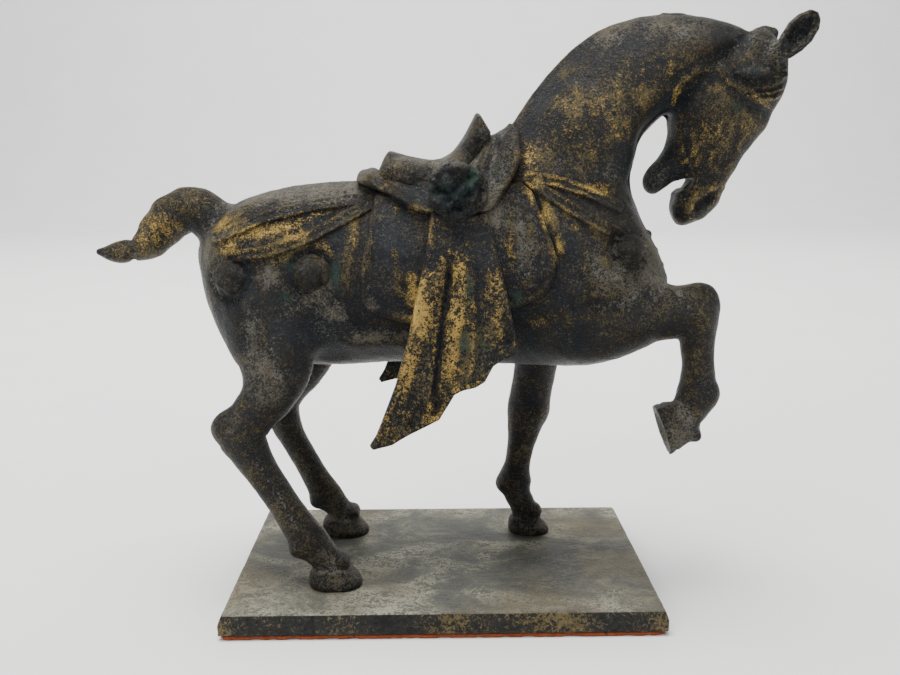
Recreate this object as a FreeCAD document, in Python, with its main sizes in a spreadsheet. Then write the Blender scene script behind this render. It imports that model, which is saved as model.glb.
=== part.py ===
import FreeCAD, Part
import math
import os

import Sketcher

# Prancing horse statuette: a hollow cast horse, joined from separate castings, on a screwed base plate.
#
# Frame: millimetres, +Z up, +X towards the head, origin at the centre of the underside of the felt.
# The horse's right side is at -Y. The right foreleg is raised; the other three hooves stand on the plate.
#
# Each casting is a loft through elliptical sections. A section is x, y, z, depth share, width share, tilt.
# It is square to the direction that the tilt gives in the XZ plane (0 is +X and 90 is +Z, in degrees), and
# its radii are shares of half the limb's own depth and width in the sheet.

V = FreeCAD.Vector
doc = FreeCAD.newDocument("HorseStatuette")
sheet = doc.addObject("Spreadsheet::Sheet", "Sizes")

DRIVING = {
    # base plate, felt and screws
    "plate_length": 128.4,
    "plate_width": 85.2,
    "plate_straight": 3.4,
    "plate_sloped": 2.6,
    "plate_slope": 21.0,
    "felt_length": 126.4,
    "felt_width": 83.2,
    "felt_thickness": 1.3,
    "screw_diameter": 3.0,
    "screw_length": 10.0,
    "screw_clearance": 3.4,
    "tapped_hole": 3.04,
    "screw_head_diameter": 5.6,
    "screw_head_height": 2.0,
    "counterbore_diameter": 6.4,
    "counterbore_depth": 2.5,
    "driver_slot_width": 0.8,
    "driver_slot_depth": 0.9,
    # castings: the full depth and width that the shares are taken from
    "wall": 2.6,
    "trunk_depth": 56.0,
    "trunk_width": 42.0,
    "neck_depth": 40.0,
    "neck_width": 25.0,
    "head_depth": 33.0,
    "head_width": 18.6,
    "jaw_depth": 9.0,
    "jaw_width": 8.4,
    "ear_depth": 9.0,
    "ear_width": 4.0,
    "foreleg_depth": 14.0,
    "foreleg_width": 11.2,
    "hind_leg_depth": 18.0,
    "hind_leg_width": 11.4,
    "tail_depth": 13.8,
    "tail_width": 12.4,
    # saddlery
    "seat_depth": 38.0,
    "seat_width": 24.0,
    "blanket_thickness": 3.0,
    "flap_thickness": 1.7,
    "cloth_thickness": 2.0,
    "knot_diameter": 17.6,
    "strap_width": 3.4,
    "strap_height": 0.9,
    "crupper_boss_diameter": 10.4,
    "breast_boss_diameter": 9.6,
}
for line, (alias, value) in enumerate(DRIVING.items(), start=1):
    sheet.set(f"A{line}", alias)
    sheet.set(f"B{line}", str(value))
    sheet.setAlias(f"B{line}", alias)
doc.recompute()


def size(alias):
    """The value of a cell, for a place that is worked out in this script."""
    return float(sheet.get(alias))


PLATE_BOTTOM = size("felt_thickness")
PLATE_TOP = PLATE_BOTTOM + size("plate_straight") + size("plate_sloped")
REACH = 300.0  # side of a tool that reaches past the whole horse
SEAM_ANGLE = math.radians(80)  # from the long axis of a section
RIGHT, LEFT = -1, 1  # the sign of Y on each side of the horse
SIDE_NAMES = {RIGHT: "right", LEFT: "left"}
finished = []


def finish(feature, label):
    """Names a sub-part and keeps it for export."""
    feature.Label = label
    finished.append(feature)
    return feature


# ---------------------------------------------------------------- sections of the castings

TRUNK = [
    (-74.0, 0, 103.5, 0.17, 0.22, 0),
    (-70.5, 0, 100.5, 0.48, 0.57, 0),
    (-62.0, 0, 98.4, 0.79, 0.84, 0),
    (-50.0, 0, 98.0, 0.95, 0.98, 0),
    (-36.0, 0, 98.8, 0.99, 1.00, 0),
    (-20.0, 0, 99.5, 0.98, 0.98, 0),
    (-4.0, 0, 99.8, 1.00, 0.99, 0),
    (12.0, 0, 102.5, 1.12, 1.00, 0),
    (26.0, 0, 105.0, 1.24, 0.98, 0),
    (40.0, 0, 101.0, 1.11, 0.93, 0),
    (52.0, 0, 96.8, 0.90, 0.81, 0),
    (60.0, 0, 95.0, 0.67, 0.63, 0),
    (65.5, 0, 95.0, 0.38, 0.38, 0),
    (68.0, 0, 95.0, 0.17, 0.19, 0),
]
NECK = [
    (35.0, 0, 112.0, 1.05, 1.00, 90),
    (34.5, 0, 122.0, 1.12, 1.12, 90),
    (36.0, 0, 132.0, 1.10, 1.12, 90),
    (40.5, 0, 142.0, 1.05, 1.02, 90),
    (48.5, 0, 150.0, 1.17, 0.96, 90),
    (56.0, 0, 157.0, 1.30, 0.88, 90),
    (62.8, 0, 163.5, 1.31, 0.78, 90),
    (67.5, 0, 169.0, 1.22, 0.64, 90),
    (68.0, 0, 173.0, 0.88, 0.46, 90),
    (68.5, 0, 175.4, 0.45, 0.24, 90),
    (68.5, 0, 176.2, 0.15, 0.08, 90),
]
HEAD = [
    (94.5, 0, 167.0, 0.40, 0.50, -104),
    (94.0, 0, 162.0, 0.66, 0.80, -100),
    (90.0, 0, 156.0, 0.86, 0.95, -98),
    (85.6, 0, 149.0, 0.99, 1.00, -96),
    (83.5, 0, 141.0, 0.90, 0.92, -93),
    (81.2, 0, 134.2, 0.67, 0.76, -95),
    (80.4, 0, 128.0, 0.50, 0.66, -97),
    (78.4, 0, 122.0, 0.47, 0.66, -97),
    (76.4, 0, 117.2, 0.36, 0.56, -104),
    (74.9, 0, 114.6, 0.14, 0.22, -108),
]
JAW = [
    (75.0, 0, 139.0, 0.80, 0.80, -125),
    (70.5, 0, 132.6, 0.92, 0.92, -128),
    (67.0, 0, 128.6, 1.00, 1.00, -125),
    (64.6, 0, 125.6, 0.70, 0.72, -120),
    (63.6, 0, 124.0, 0.36, 0.37, -118),
]
RIGHT_EAR = [
    (94.3, -5.6, 159.9, 0.44, 0.40, 46),
    (97.6, -6.8, 163.6, 0.74, 0.86, 46),
    (100.7, -7.6, 166.9, 0.93, 0.90, 46),
    (104.2, -8.0, 170.2, 0.97, 0.80, 46),
    (106.7, -8.2, 172.7, 0.78, 0.60, 46),
    (108.3, -8.3, 174.3, 0.34, 0.36, 46),
]
RIGHT_HIND_LEG = [
    (-49.0, -9.5, 97.0, 1.62, 1.34, -90),
    (-49.2, -12.0, 86.5, 1.62, 1.42, -90),
    (-49.6, -13.8, 76.5, 1.34, 1.34, -90),
    (-51.0, -15.6, 68.0, 1.00, 1.20, -94),
    (-54.6, -17.6, 60.0, 0.90, 1.04, -98),
    (-58.6, -18.8, 52.5, 0.98, 0.98, -84),
    (-55.3, -19.2, 45.4, 0.70, 0.84, -67),
    (-49.8, -19.6, 36.0, 0.58, 0.74, -62),
    (-44.8, -20.0, 27.8, 0.57, 0.76, -62),
    (-40.8, -20.2, 21.2, 0.65, 0.88, -62),
    (-36.6, -20.4, 15.8, 0.57, 0.82, -72),
    (-34.0, -20.5, 11.4, 0.70, 0.98, -85),
    (-32.4, -20.6, PLATE_TOP, 0.84, 1.14, -90),
]
# How much further forward each section of the left hind leg stands.
LEFT_HIND_SHIFTS = [0, 0.4, 1.6, 3.5, 5.5, 4.2, 3.0, 1.6, 0.8, 0.6, 0.3, 0.2, 0]
LEFT_FORELEG = [
    (35.5, 7.5, 99.0, 1.70, 1.30, -92),
    (34.0, 11.4, 88.0, 1.66, 1.42, -92),
    (32.6, 13.6, 77.0, 1.28, 1.28, -92),
    (31.2, 15.8, 67.5, 1.00, 1.08, -92),
    (30.0, 17.4, 59.0, 0.96, 1.00, -94),
    (28.8, 18.4, 51.5, 1.00, 1.00, -96),
    (27.5, 19.0, 44.5, 0.81, 0.86, -96),
    (26.4, 19.5, 36.0, 0.63, 0.76, -94),
    (25.6, 19.8, 30.0, 0.65, 0.78, -92),
    (24.9, 20.0, 24.6, 0.82, 0.88, -82),
    (26.2, 20.0, 19.0, 0.66, 0.80, -70),
    (28.2, 20.0, 14.2, 0.77, 0.94, -78),
    (29.8, 20.0, PLATE_TOP, 0.91, 1.12, -90),
]
RAISED_FOREARM = [
    (31.0, -7.0, 95.0, 2.00, 1.40, 0),
    (40.0, -10.4, 92.6, 2.05, 1.48, 0),
    (50.0, -12.5, 89.0, 1.70, 1.42, 0),
    (60.0, -14.2, 88.4, 1.36, 1.22, 0),
    (68.0, -15.0, 89.4, 1.12, 1.08, 0),
    (75.0, -15.3, 90.2, 1.03, 1.00, 0),
    (79.6, -15.4, 88.6, 0.68, 0.66, 0),
]
RAISED_SHANK = [
    (75.4, -15.3, 91.0, 0.80, 0.80, -90),
    (76.2, -15.4, 84.0, 0.74, 0.86, -90),
    (75.9, -15.5, 78.0, 0.72, 0.80, -90),
    (76.2, -15.5, 71.5, 0.73, 0.78, -90),
    (76.5, -15.5, 65.2, 0.88, 0.88, -90),
    (75.0, -15.5, 59.6, 0.78, 0.86, -96),
    (73.6, -15.5, 54.0, 0.60, 0.70, -100),
]
RAISED_HOOF = [
    (72.6, -15.5, 57.8, 0.90, 0.94, -140),
    (70.2, -15.5, 55.8, 1.04, 1.06, -148),
    (66.2, -15.5, 53.0, 1.08, 1.14, -161),
]
TAIL = [
    (-61.0, 0, 108.5, 0.84, 0.88, 138),
    (-68.4, 0, 115.4, 0.92, 0.96, 146),
    (-75.2, 0, 118.8, 1.00, 1.00, 176),
    (-81.4, 0, 116.4, 0.98, 0.98, 214),
    (-86.4, 0, 111.4, 0.86, 0.86, 224),
    (-90.6, 0, 107.8, 0.72, 0.74, 208),
    (-95.0, 0, 106.2, 0.50, 0.52, 190),
    (-100.0, 0, 106.2, 0.42, 0.44, 178),
    (-105.0, 0, 107.0, 0.22, 0.24, 170),
]
SEAT = [
    (-19.4, 0, 117.5, 0.70, 0.74, 0),
    (-16.4, 0, 118.0, 0.92, 0.90, 0),
    (-11.0, 0, 117.5, 0.92, 1.00, 0),
    (-3.0, 0, 117.5, 0.84, 1.04, 0),
    (3.0, 0, 118.5, 0.88, 1.04, 0),
    (7.5, 0, 121.5, 1.08, 0.98, 0),
    (11.0, 0, 125.0, 1.15, 0.90, 0),
    (14.6, 0, 126.0, 0.94, 0.80, 0),
]

# ---------------------------------------------------------------- outlines of the saddlery

# Seen from the side, as (x, z), with the radius of each outline's corners.
BLANKET = [(-25.5, 145), (22.5, 160), (21, 140), (17, 126), (12, 119), (-8, 117.6), (-25.5, 125)]
BLANKET_CORNER = 3.0
FLAP = [(-19, 124), (26, 128), (34, 106), (29, 94.5), (8, 87.5), (-12, 85.5), (-24, 89), (-24, 106)]
FLAP_CORNER = 5.0
CLOTH = [
    (-3.4, 119), (13.4, 119), (22.2, 84), (22, 76), (14.8, 75), (13, 69), (4.5, 67),
    (1.5, 59.5), (-21.6, 48.8), (-13, 71), (-8, 92),
]
CLOTH_CORNER = 1.6
LEFT_CLOTH_RISE = 8.5  # the left cloth hangs this much shorter
# Outer face of a hanging cloth, seen from the front, as (distance from the middle plane, z).
HANG = [(19.5, 121), (23.6, 110), (25.2, 98), (25.8, 80), (26.4, 44)]
# Middle lines of the straps, as (x, z), each with its two branches.
CRUPPER_STRAP = [[(-21, 123), (-50, 118.5), (-65, 112)], [(-21, 121), (-36, 112.5), (-58, 106.5)]]
BREAST_STRAP = [[(26, 128), (36, 127), (50, 120.5)], [(26, 127.5), (36, 120.5), (52, 111.5)]]
# Middles of the discs and half-round bosses, as (x, distance from the middle plane, z).
KNOT_SPOT = (4.5, 14.0, 124.5)
KNOT_REACH = 11.0
CRUPPER_BOSS_SPOTS = [(-37.5, 20.3, 101.5), (-60.5, 16.9, 100.0)]
BREAST_BOSS_SPOT = (55.0, 13.4, 107.5)
# Screws, as (x, y), up through the plate into the standing hooves.
HOOF_SPOTS = {"right_hind": (-34.0, -20.5), "left_hind": (-33.6, 20.5), "left_fore": (28.4, 20.0)}

# ---------------------------------------------------------------- tools


def section(row, limb, grow):
    """One elliptical section of a limb, grown by a distance.

    The curve starts at the side of the limb, so no two castings have their seam lines in the same plane.
    """
    x, y, z, depth, width, tilt = row
    major = size(f"{limb}_depth") / 2 * depth + grow
    minor = size(f"{limb}_width") / 2 * width + grow
    curve = Part.Ellipse(V(0, 0, 0), major, minor)
    angle = math.radians(tilt)
    along = V(math.cos(angle), 0, math.sin(angle))
    across = V(-math.sin(angle), 0, math.cos(angle))
    ring = doc.addObject("Part::Feature", "Section")
    ring.Shape = Part.ArcOfEllipse(curve, SEAM_ANGLE, SEAM_ANGLE + 2 * math.pi).toShape()
    ring.Placement = FreeCAD.Placement(V(x, y, z), FreeCAD.Rotation(across, V(0, -1, 0), along, "ZXY"))
    return ring


def loft(rows, limb, grow=0.0):
    """A solid through all sections of a limb."""
    solid = doc.addObject("Part::Loft", "Loft")
    solid.Sections = [section(row, limb, grow) for row in rows]
    solid.Solid = True
    solid.Ruled = False
    return solid


def moved(rows, forward=0.0, up=0.0, mirror=False, shifts=None):
    """The rows of a limb moved, or mirrored to the other side of the horse."""
    shifts = shifts or [0] * len(rows)
    flip = -1 if mirror else 1
    return [
        (x + forward + shift, flip * y, z + up, depth, width, tilt)
        for (x, y, z, depth, width, tilt), shift in zip(rows, shifts)
    ]


def cut(base, *tools):
    """The base without the tools, taken away one after the other."""
    for tool in tools:
        rest = doc.addObject("Part::Cut", "Cut")
        rest.Base = base
        rest.Tool = tool
        base = rest
    return base


def common(first, second):
    shared = doc.addObject("Part::Common", "Common")
    shared.Base = first
    shared.Tool = second
    return shared


def fuse(*shapes):
    joined = doc.addObject("Part::MultiFuse", "Fuse")
    joined.Shapes = list(shapes)
    return joined


def half_space(side):
    """A box over everything on one side of the middle plane."""
    box = doc.addObject("Part::Box", "HalfSpace")
    box.Length = REACH
    box.Width = REACH
    box.Height = REACH
    box.Placement.Base = V(-REACH / 2, -REACH if side == RIGHT else 0, 0)
    return box


def rounded(points, radius):
    """Edges of a closed outline whose corners are arcs of a radius, or less beside a short side."""
    count = len(points)
    corners = []
    for i, spot in enumerate(points):
        before = V(*points[i - 1], 0) - V(*spot, 0)
        after = V(*points[(i + 1) % count], 0) - V(*spot, 0)
        half_angle = before.getAngle(after) / 2
        room = 0.45 * min(before.Length, after.Length)
        setback = min(radius / math.tan(half_angle), room)
        before.normalize()
        after.normalize()
        bisector = (before + after).normalize()
        middle_radius = setback * math.tan(half_angle)
        middle = V(*spot, 0) + bisector * (setback / math.cos(half_angle) - middle_radius)
        corners.append((V(*spot, 0) + before * setback, middle, V(*spot, 0) + after * setback))
    edges = []
    for i, (start, middle, end) in enumerate(corners):
        edges.append(Part.Arc(start, middle, end))
        edges.append(Part.LineSegment(end, corners[(i + 1) % count][0]))
    return edges


def prism(points, role, depth, corner=None):
    """A body padded to both sides of an origin plane from a closed outline.

    The outline's points are (x, z) on XZ_Plane, (y, z) on YZ_Plane and (x, y) on XY_Plane.
    """
    body = doc.addObject("PartDesign::Body", "Prism")
    plane = next(o for o in body.Origin.OriginFeatures if o.Role == role)
    sketch = body.newObject("Sketcher::SketchObject", "Outline")
    sketch.AttachmentSupport = [(plane, "")]
    sketch.MapMode = "FlatFace"
    if corner:
        edges = rounded(points, corner)
    else:
        spots = [V(a, b, 0) for a, b in points]
        edges = [Part.LineSegment(a, b) for a, b in zip(spots, spots[1:] + spots[:1])]
    for edge in edges:
        sketch.addGeometry(edge, False)
    pad = body.newObject("PartDesign::Pad", "Pad")
    pad.Profile = sketch
    pad.Midplane = True
    pad.Length = depth
    return body


def rod(spot, diameter, height, turn=None):
    """A cylinder from a spot, upright unless it is turned, with sizes given as expressions."""
    shape = doc.addObject("Part::Cylinder", "Rod")
    shape.setExpression("Radius", f"({diameter}) / 2")
    shape.setExpression("Height", height)
    shape.Placement = FreeCAD.Placement(V(*spot), turn or FreeCAD.Rotation())
    return shape


def ball(spot, diameter):
    shape = doc.addObject("Part::Sphere", "Ball")
    shape.setExpression("Radius", f"({diameter}) / 2")
    shape.Placement.Base = V(*spot)
    return shape


# ---------------------------------------------------------------- base plate, felt and screws


def slab(length, width, height, bottom, slope=None):
    """A centred rectangular pad, with its sides sloping inwards where a slope is given."""
    body = doc.addObject("PartDesign::Body", "Slab")
    plane = next(o for o in body.Origin.OriginFeatures if o.Role == "XY_Plane")
    sketch = body.newObject("Sketcher::SketchObject", "Rectangle")
    sketch.AttachmentSupport = [(plane, "")]
    sketch.MapMode = "FlatFace"
    corners = [V(-1, -1, 0), V(1, -1, 0), V(1, 1, 0), V(-1, 1, 0)]
    for start, end in zip(corners, corners[1:] + corners[:1]):
        sketch.addGeometry(Part.LineSegment(start, end), False)
    for i in range(4):
        sketch.addConstraint(Sketcher.Constraint("Coincident", i, 2, (i + 1) % 4, 1))
    for i, kind in enumerate(["Horizontal", "Vertical", "Horizontal", "Vertical"]):
        sketch.addConstraint(Sketcher.Constraint(kind, i))
    sketch.addConstraint(Sketcher.Constraint("Symmetric", 0, 1, 1, 2, -1, 1))
    across = sketch.addConstraint(Sketcher.Constraint("DistanceX", 0, 1, 0, 2, 2.0))
    deep = sketch.addConstraint(Sketcher.Constraint("DistanceY", 1, 1, 1, 2, 2.0))
    sketch.setExpression(f"Constraints[{across}]", f"Sizes.{length}")
    sketch.setExpression(f"Constraints[{deep}]", f"Sizes.{width}")
    pad = body.newObject("PartDesign::Pad", "Pad")
    pad.Profile = sketch
    pad.setExpression("Length", f"Sizes.{height}")
    if slope:
        pad.setExpression("TaperAngle", f"-Sizes.{slope}")
    body.Placement.Base = V(0, 0, bottom)
    return body


def screw(x, y):
    """A slotted cheese-head screw, head down in its counterbore."""
    seat = PLATE_BOTTOM + size("counterbore_depth")
    head_bottom = seat - size("screw_head_height")
    head = rod((x, y, head_bottom), "Sizes.screw_head_diameter", "Sizes.screw_head_height")
    shank = rod((x, y, seat), "Sizes.screw_diameter", "Sizes.screw_length")
    slot = doc.addObject("Part::Box", "DriverSlot")
    slot.Length = 2 * size("screw_head_diameter")
    slot.setExpression("Width", "Sizes.driver_slot_width")
    slot.setExpression("Height", "Sizes.driver_slot_depth")
    slot.Placement.Base = V(x - size("screw_head_diameter"), y - size("driver_slot_width") / 2, head_bottom)
    return cut(fuse(head, shank), slot)


def tapped(x, y):
    """The blind hole that a screw's thread fills in a hoof."""
    top = PLATE_BOTTOM + size("counterbore_depth") + size("screw_length") + 0.5
    return rod((x, y, PLATE_TOP - 1), "Sizes.tapped_hole", f"{top} - {PLATE_TOP} + 1")


finish(slab("felt_length", "felt_width", "felt_thickness", 0.0), "base_felt")

plate_straight = slab("plate_length", "plate_width", "plate_straight", PLATE_BOTTOM)
plate_sloped = slab(
    "plate_length", "plate_width", "plate_sloped", PLATE_BOTTOM + size("plate_straight"), "plate_slope"
)
plate = fuse(plate_straight, plate_sloped)
for x, y in HOOF_SPOTS.values():
    plate = cut(
        plate,
        rod((x, y, 0), "Sizes.screw_clearance", f"{PLATE_TOP} + 1"),
        rod((x, y, 0), "Sizes.counterbore_diameter", f"{PLATE_BOTTOM} + Sizes.counterbore_depth"),
    )
finish(plate, "base_plate")

screws = doc.addObject("Part::Compound", "Screws")
screws.Links = [screw(x, y) for x, y in HOOF_SPOTS.values()]
finish(screws, "hoof_screws")

# ---------------------------------------------------------------- body castings

trunk = loft(TRUNK, "trunk")
trunk_core = loft(TRUNK[1:-1], "trunk", -size("wall"))
trunk_shell = cut(trunk, trunk_core)
for side in (RIGHT, LEFT):
    finish(common(trunk_shell, half_space(side)), f"trunk_{SIDE_NAMES[side]}_shell")

hind_legs = {
    RIGHT: cut(loft(RIGHT_HIND_LEG, "hind_leg"), trunk, tapped(*HOOF_SPOTS["right_hind"])),
    LEFT: cut(
        loft(moved(RIGHT_HIND_LEG, mirror=True, shifts=LEFT_HIND_SHIFTS), "hind_leg"),
        trunk,
        tapped(*HOOF_SPOTS["left_hind"]),
    ),
}
forelegs = {
    RIGHT: cut(
        fuse(
            loft(RAISED_FOREARM, "foreleg"),
            loft(RAISED_SHANK, "foreleg"),
            loft(RAISED_HOOF, "foreleg"),
        ),
        trunk,
    ),
    LEFT: cut(loft(LEFT_FORELEG, "foreleg"), trunk, tapped(*HOOF_SPOTS["left_fore"])),
}
for side, name in SIDE_NAMES.items():
    finish(hind_legs[side], f"{name}_hind_leg")
    finish(forelegs[side], f"{name}_foreleg")

finish(cut(loft(TAIL, "tail"), trunk), "tail")

# ---------------------------------------------------------------- saddle

blanket_layer = loft(TRUNK, "trunk", size("blanket_thickness"))
blanket_prism = prism(BLANKET, "XZ_Plane", 90.0, BLANKET_CORNER)
blanket_block = common(blanket_layer, blanket_prism)
blanket = finish(cut(blanket_block, trunk), "saddle_blanket")
seat = finish(cut(loft(SEAT, "seat"), blanket_layer), "saddle_seat")

flap_layer = loft(TRUNK, "trunk", size("flap_thickness"))
flap_prism = prism(FLAP, "XZ_Plane", 90.0, FLAP_CORNER)
flap_block = common(flap_layer, flap_prism)
flap_ring = cut(flap_block, trunk, blanket)
cloths = {}
for side, name in SIDE_NAMES.items():
    finish(cut(common(flap_ring, half_space(side)), forelegs[side]), f"{name}_mud_flap")
    rise = LEFT_CLOTH_RISE if side == LEFT else 0.0
    outline = [(x, z + (rise if z < 80 else 0)) for x, z in CLOTH]
    outer = [(side * y, z) for y, z in HANG]
    inner = [(side * (y - size("cloth_thickness")), z) for y, z in reversed(HANG)]
    panel = common(
        prism(outline, "XZ_Plane", 90.0, CLOTH_CORNER), prism(outer + inner, "YZ_Plane", 90.0)
    )
    cloths[side] = finish(cut(panel, flap_layer, blanket), f"{name}_saddle_cloth")
    x, y, z = KNOT_SPOT
    turn = FreeCAD.Rotation(V(0, 0, 1), V(0, side, 0))
    disc = rod((x, side * y, z), "Sizes.knot_diameter", str(KNOT_REACH), turn)
    finish(cut(disc, blanket_layer, seat, cloths[side]), f"{name}_cloth_knot")

# ---------------------------------------------------------------- neck, head and ears

head = finish(fuse(loft(HEAD, "head"), loft(JAW, "jaw")), "head_casting")
neck_form = loft(NECK, "neck")
neck = finish(cut(neck_form, trunk, head, blanket), "neck_casting")
for side, rows in (
    (RIGHT, RIGHT_EAR),
    (LEFT, moved(RIGHT_EAR, forward=-5.5, up=-1.6, mirror=True)),
):
    finish(cut(loft(rows, "ear"), head, neck), f"{SIDE_NAMES[side]}_ear")

# ---------------------------------------------------------------- straps and bosses

strap_layer = loft(TRUNK, "trunk", size("strap_height"))


def band(line):
    """A strip of the strap's width along a line, through the whole horse."""
    half = size("strap_width") / 2
    upper = [(x, z + half) for x, z in line]
    lower = [(x, z - half) for x, z in reversed(line)]
    return prism(upper + lower, "XZ_Plane", 90.0)


for name, branches in (("crupper_strap", CRUPPER_STRAP), ("breast_strap", BREAST_STRAP)):
    bands = fuse(*[band(line) for line in branches])
    ring = cut(common(strap_layer, bands), trunk, blanket_block, flap_block, neck_form)
    for side in (RIGHT, LEFT):
        finish(common(ring, half_space(side)), f"{SIDE_NAMES[side]}_{name}")


def boss(spot, diameter, side):
    """A half-round boss that stands on the trunk."""
    x, y, z = spot
    return cut(ball((x, side * y, z), diameter), strap_layer, hind_legs[side], forelegs[side])


for name, diameter, spots in (
    ("crupper_bosses", "Sizes.crupper_boss_diameter", CRUPPER_BOSS_SPOTS),
    ("breast_bosses", "Sizes.breast_boss_diameter", [BREAST_BOSS_SPOT]),
):
    group = doc.addObject("Part::Compound", name)
    group.Links = [boss(spot, diameter, side) for side in (RIGHT, LEFT) for spot in spots]
    finish(group, name)

# ---------------------------------------------------------------- checks and export

doc.recompute()
failed = [item for item in doc.Objects if "Invalid" in item.State or "Error" in item.State]
if failed:
    raise RuntimeError("; ".join(f"{item.Label} used by {[u.Label for u in item.InList]}" for item in failed))
for item in finished:
    if item.Shape.isNull() or not item.Shape.isValid():
        raise RuntimeError(f"{item.Label} has no valid shape")
os.makedirs("parts", exist_ok=True)
for item in finished:
    item.Shape.exportStep(f"parts/{item.Label}.step")
    box = item.Shape.optimalBoundingBox(True)
    print(
        f"{item.Label:22s} solids {len(item.Shape.Solids)}  volume {item.Shape.Volume:9.1f}  "
        f"x {box.XMin:7.1f} {box.XMax:7.1f}  y {box.YMin:6.1f} {box.YMax:6.1f}  z {box.ZMin:6.1f} {box.ZMax:6.1f}"
    )
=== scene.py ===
import math

import bpy
import numpy as np
import openvdb
from mathutils import Matrix, Vector


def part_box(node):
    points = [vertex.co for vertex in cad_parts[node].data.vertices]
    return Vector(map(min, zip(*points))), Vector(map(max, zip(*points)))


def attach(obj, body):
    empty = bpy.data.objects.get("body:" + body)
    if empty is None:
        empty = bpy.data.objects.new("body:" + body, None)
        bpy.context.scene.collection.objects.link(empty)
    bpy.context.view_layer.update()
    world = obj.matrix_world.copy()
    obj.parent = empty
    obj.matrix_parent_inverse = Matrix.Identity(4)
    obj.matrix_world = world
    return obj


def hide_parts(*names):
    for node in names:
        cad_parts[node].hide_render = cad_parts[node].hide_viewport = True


# The looks of the prancing horse statuette. Shapes are distance fields in millimetres, in the row's frame:
# +X to the head, the horse's right side at -Y, Z = 0 under the felt. Each field becomes a mesh in metres.

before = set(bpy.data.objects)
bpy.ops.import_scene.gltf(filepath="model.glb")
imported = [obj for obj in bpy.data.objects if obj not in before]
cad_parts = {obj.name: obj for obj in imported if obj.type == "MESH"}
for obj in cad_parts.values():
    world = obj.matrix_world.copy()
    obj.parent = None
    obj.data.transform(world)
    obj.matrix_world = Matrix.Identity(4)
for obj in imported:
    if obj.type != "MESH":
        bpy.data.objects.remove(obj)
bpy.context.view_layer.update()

MM = 0.001
VOXEL = 0.45
FINE = 0.32
BASE_VOXEL = 0.5
RIGHT, LEFT = -1, 1
SIDE_NAMES = {RIGHT: "right", LEFT: "left"}
PLATE_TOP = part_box("base_plate")[1].z / MM
FELT_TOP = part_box("base_felt")[1].z / MM


# ---------------------------------------------------------------- curves and distance fields


def curve(knots, values, monotone=True):
    """A smooth cubic through values at knots, held constant past both ends."""
    x = np.asarray(knots, float)
    y = np.asarray(values, float)
    step = np.diff(x)
    slope = np.diff(y) / step
    tangent = np.empty_like(y)
    tangent[0], tangent[-1] = slope[0], slope[-1]
    before, after = slope[:-1], slope[1:]
    tangent[1:-1] = (before * step[1:] + after * step[:-1]) / (step[1:] + step[:-1])
    if monotone:
        limit = 3 * np.minimum(abs(before), abs(after))
        tangent[1:-1] = np.where(before * after > 0, np.clip(tangent[1:-1], -limit, limit), 0)

    def at(q):
        q = np.clip(q, x[0], x[-1])
        i = np.clip(np.searchsorted(x, q) - 1, 0, len(step) - 1)
        s = (q - x[i]) / step[i]
        rise = s * (1 - s) ** 2 * tangent[i] + s * s * (s - 1) * tangent[i + 1]
        return (1 + 2 * s) * (1 - s) ** 2 * y[i] + s * s * (3 - 2 * s) * y[i + 1] + rise * step[i]

    return at


def merge(a, b, reach):
    """Union of two fields with a fillet."""
    h = np.maximum(reach - abs(a - b), 0) / reach
    return np.minimum(a, b) - h * h * reach / 4


def carve(a, b, reach):
    """Field a without field b, with a rounded edge."""
    return -merge(-a, b, reach)


def keep(a, b, reach):
    """What both fields hold, with a rounded edge."""
    return -merge(-a, -b, reach)


def ramp(low, high, value):
    """0 below low, 1 above high, smooth between."""
    t = np.clip((value - low) / (high - low), 0, 1)
    return t * t * (3 - 2 * t)


def near_box(p, low, high, margin, field):
    """A field worked out only near its box, and the distance to the box elsewhere."""
    low = np.asarray(low) - margin
    high = np.asarray(high) + margin
    gap = np.maximum(np.maximum(low - p, p - high), 0)
    out = np.sqrt((gap * gap).sum(axis=1)) + margin
    inside = out <= margin
    if inside.any():
        out[inside] = field(p[inside])
    return out


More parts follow.
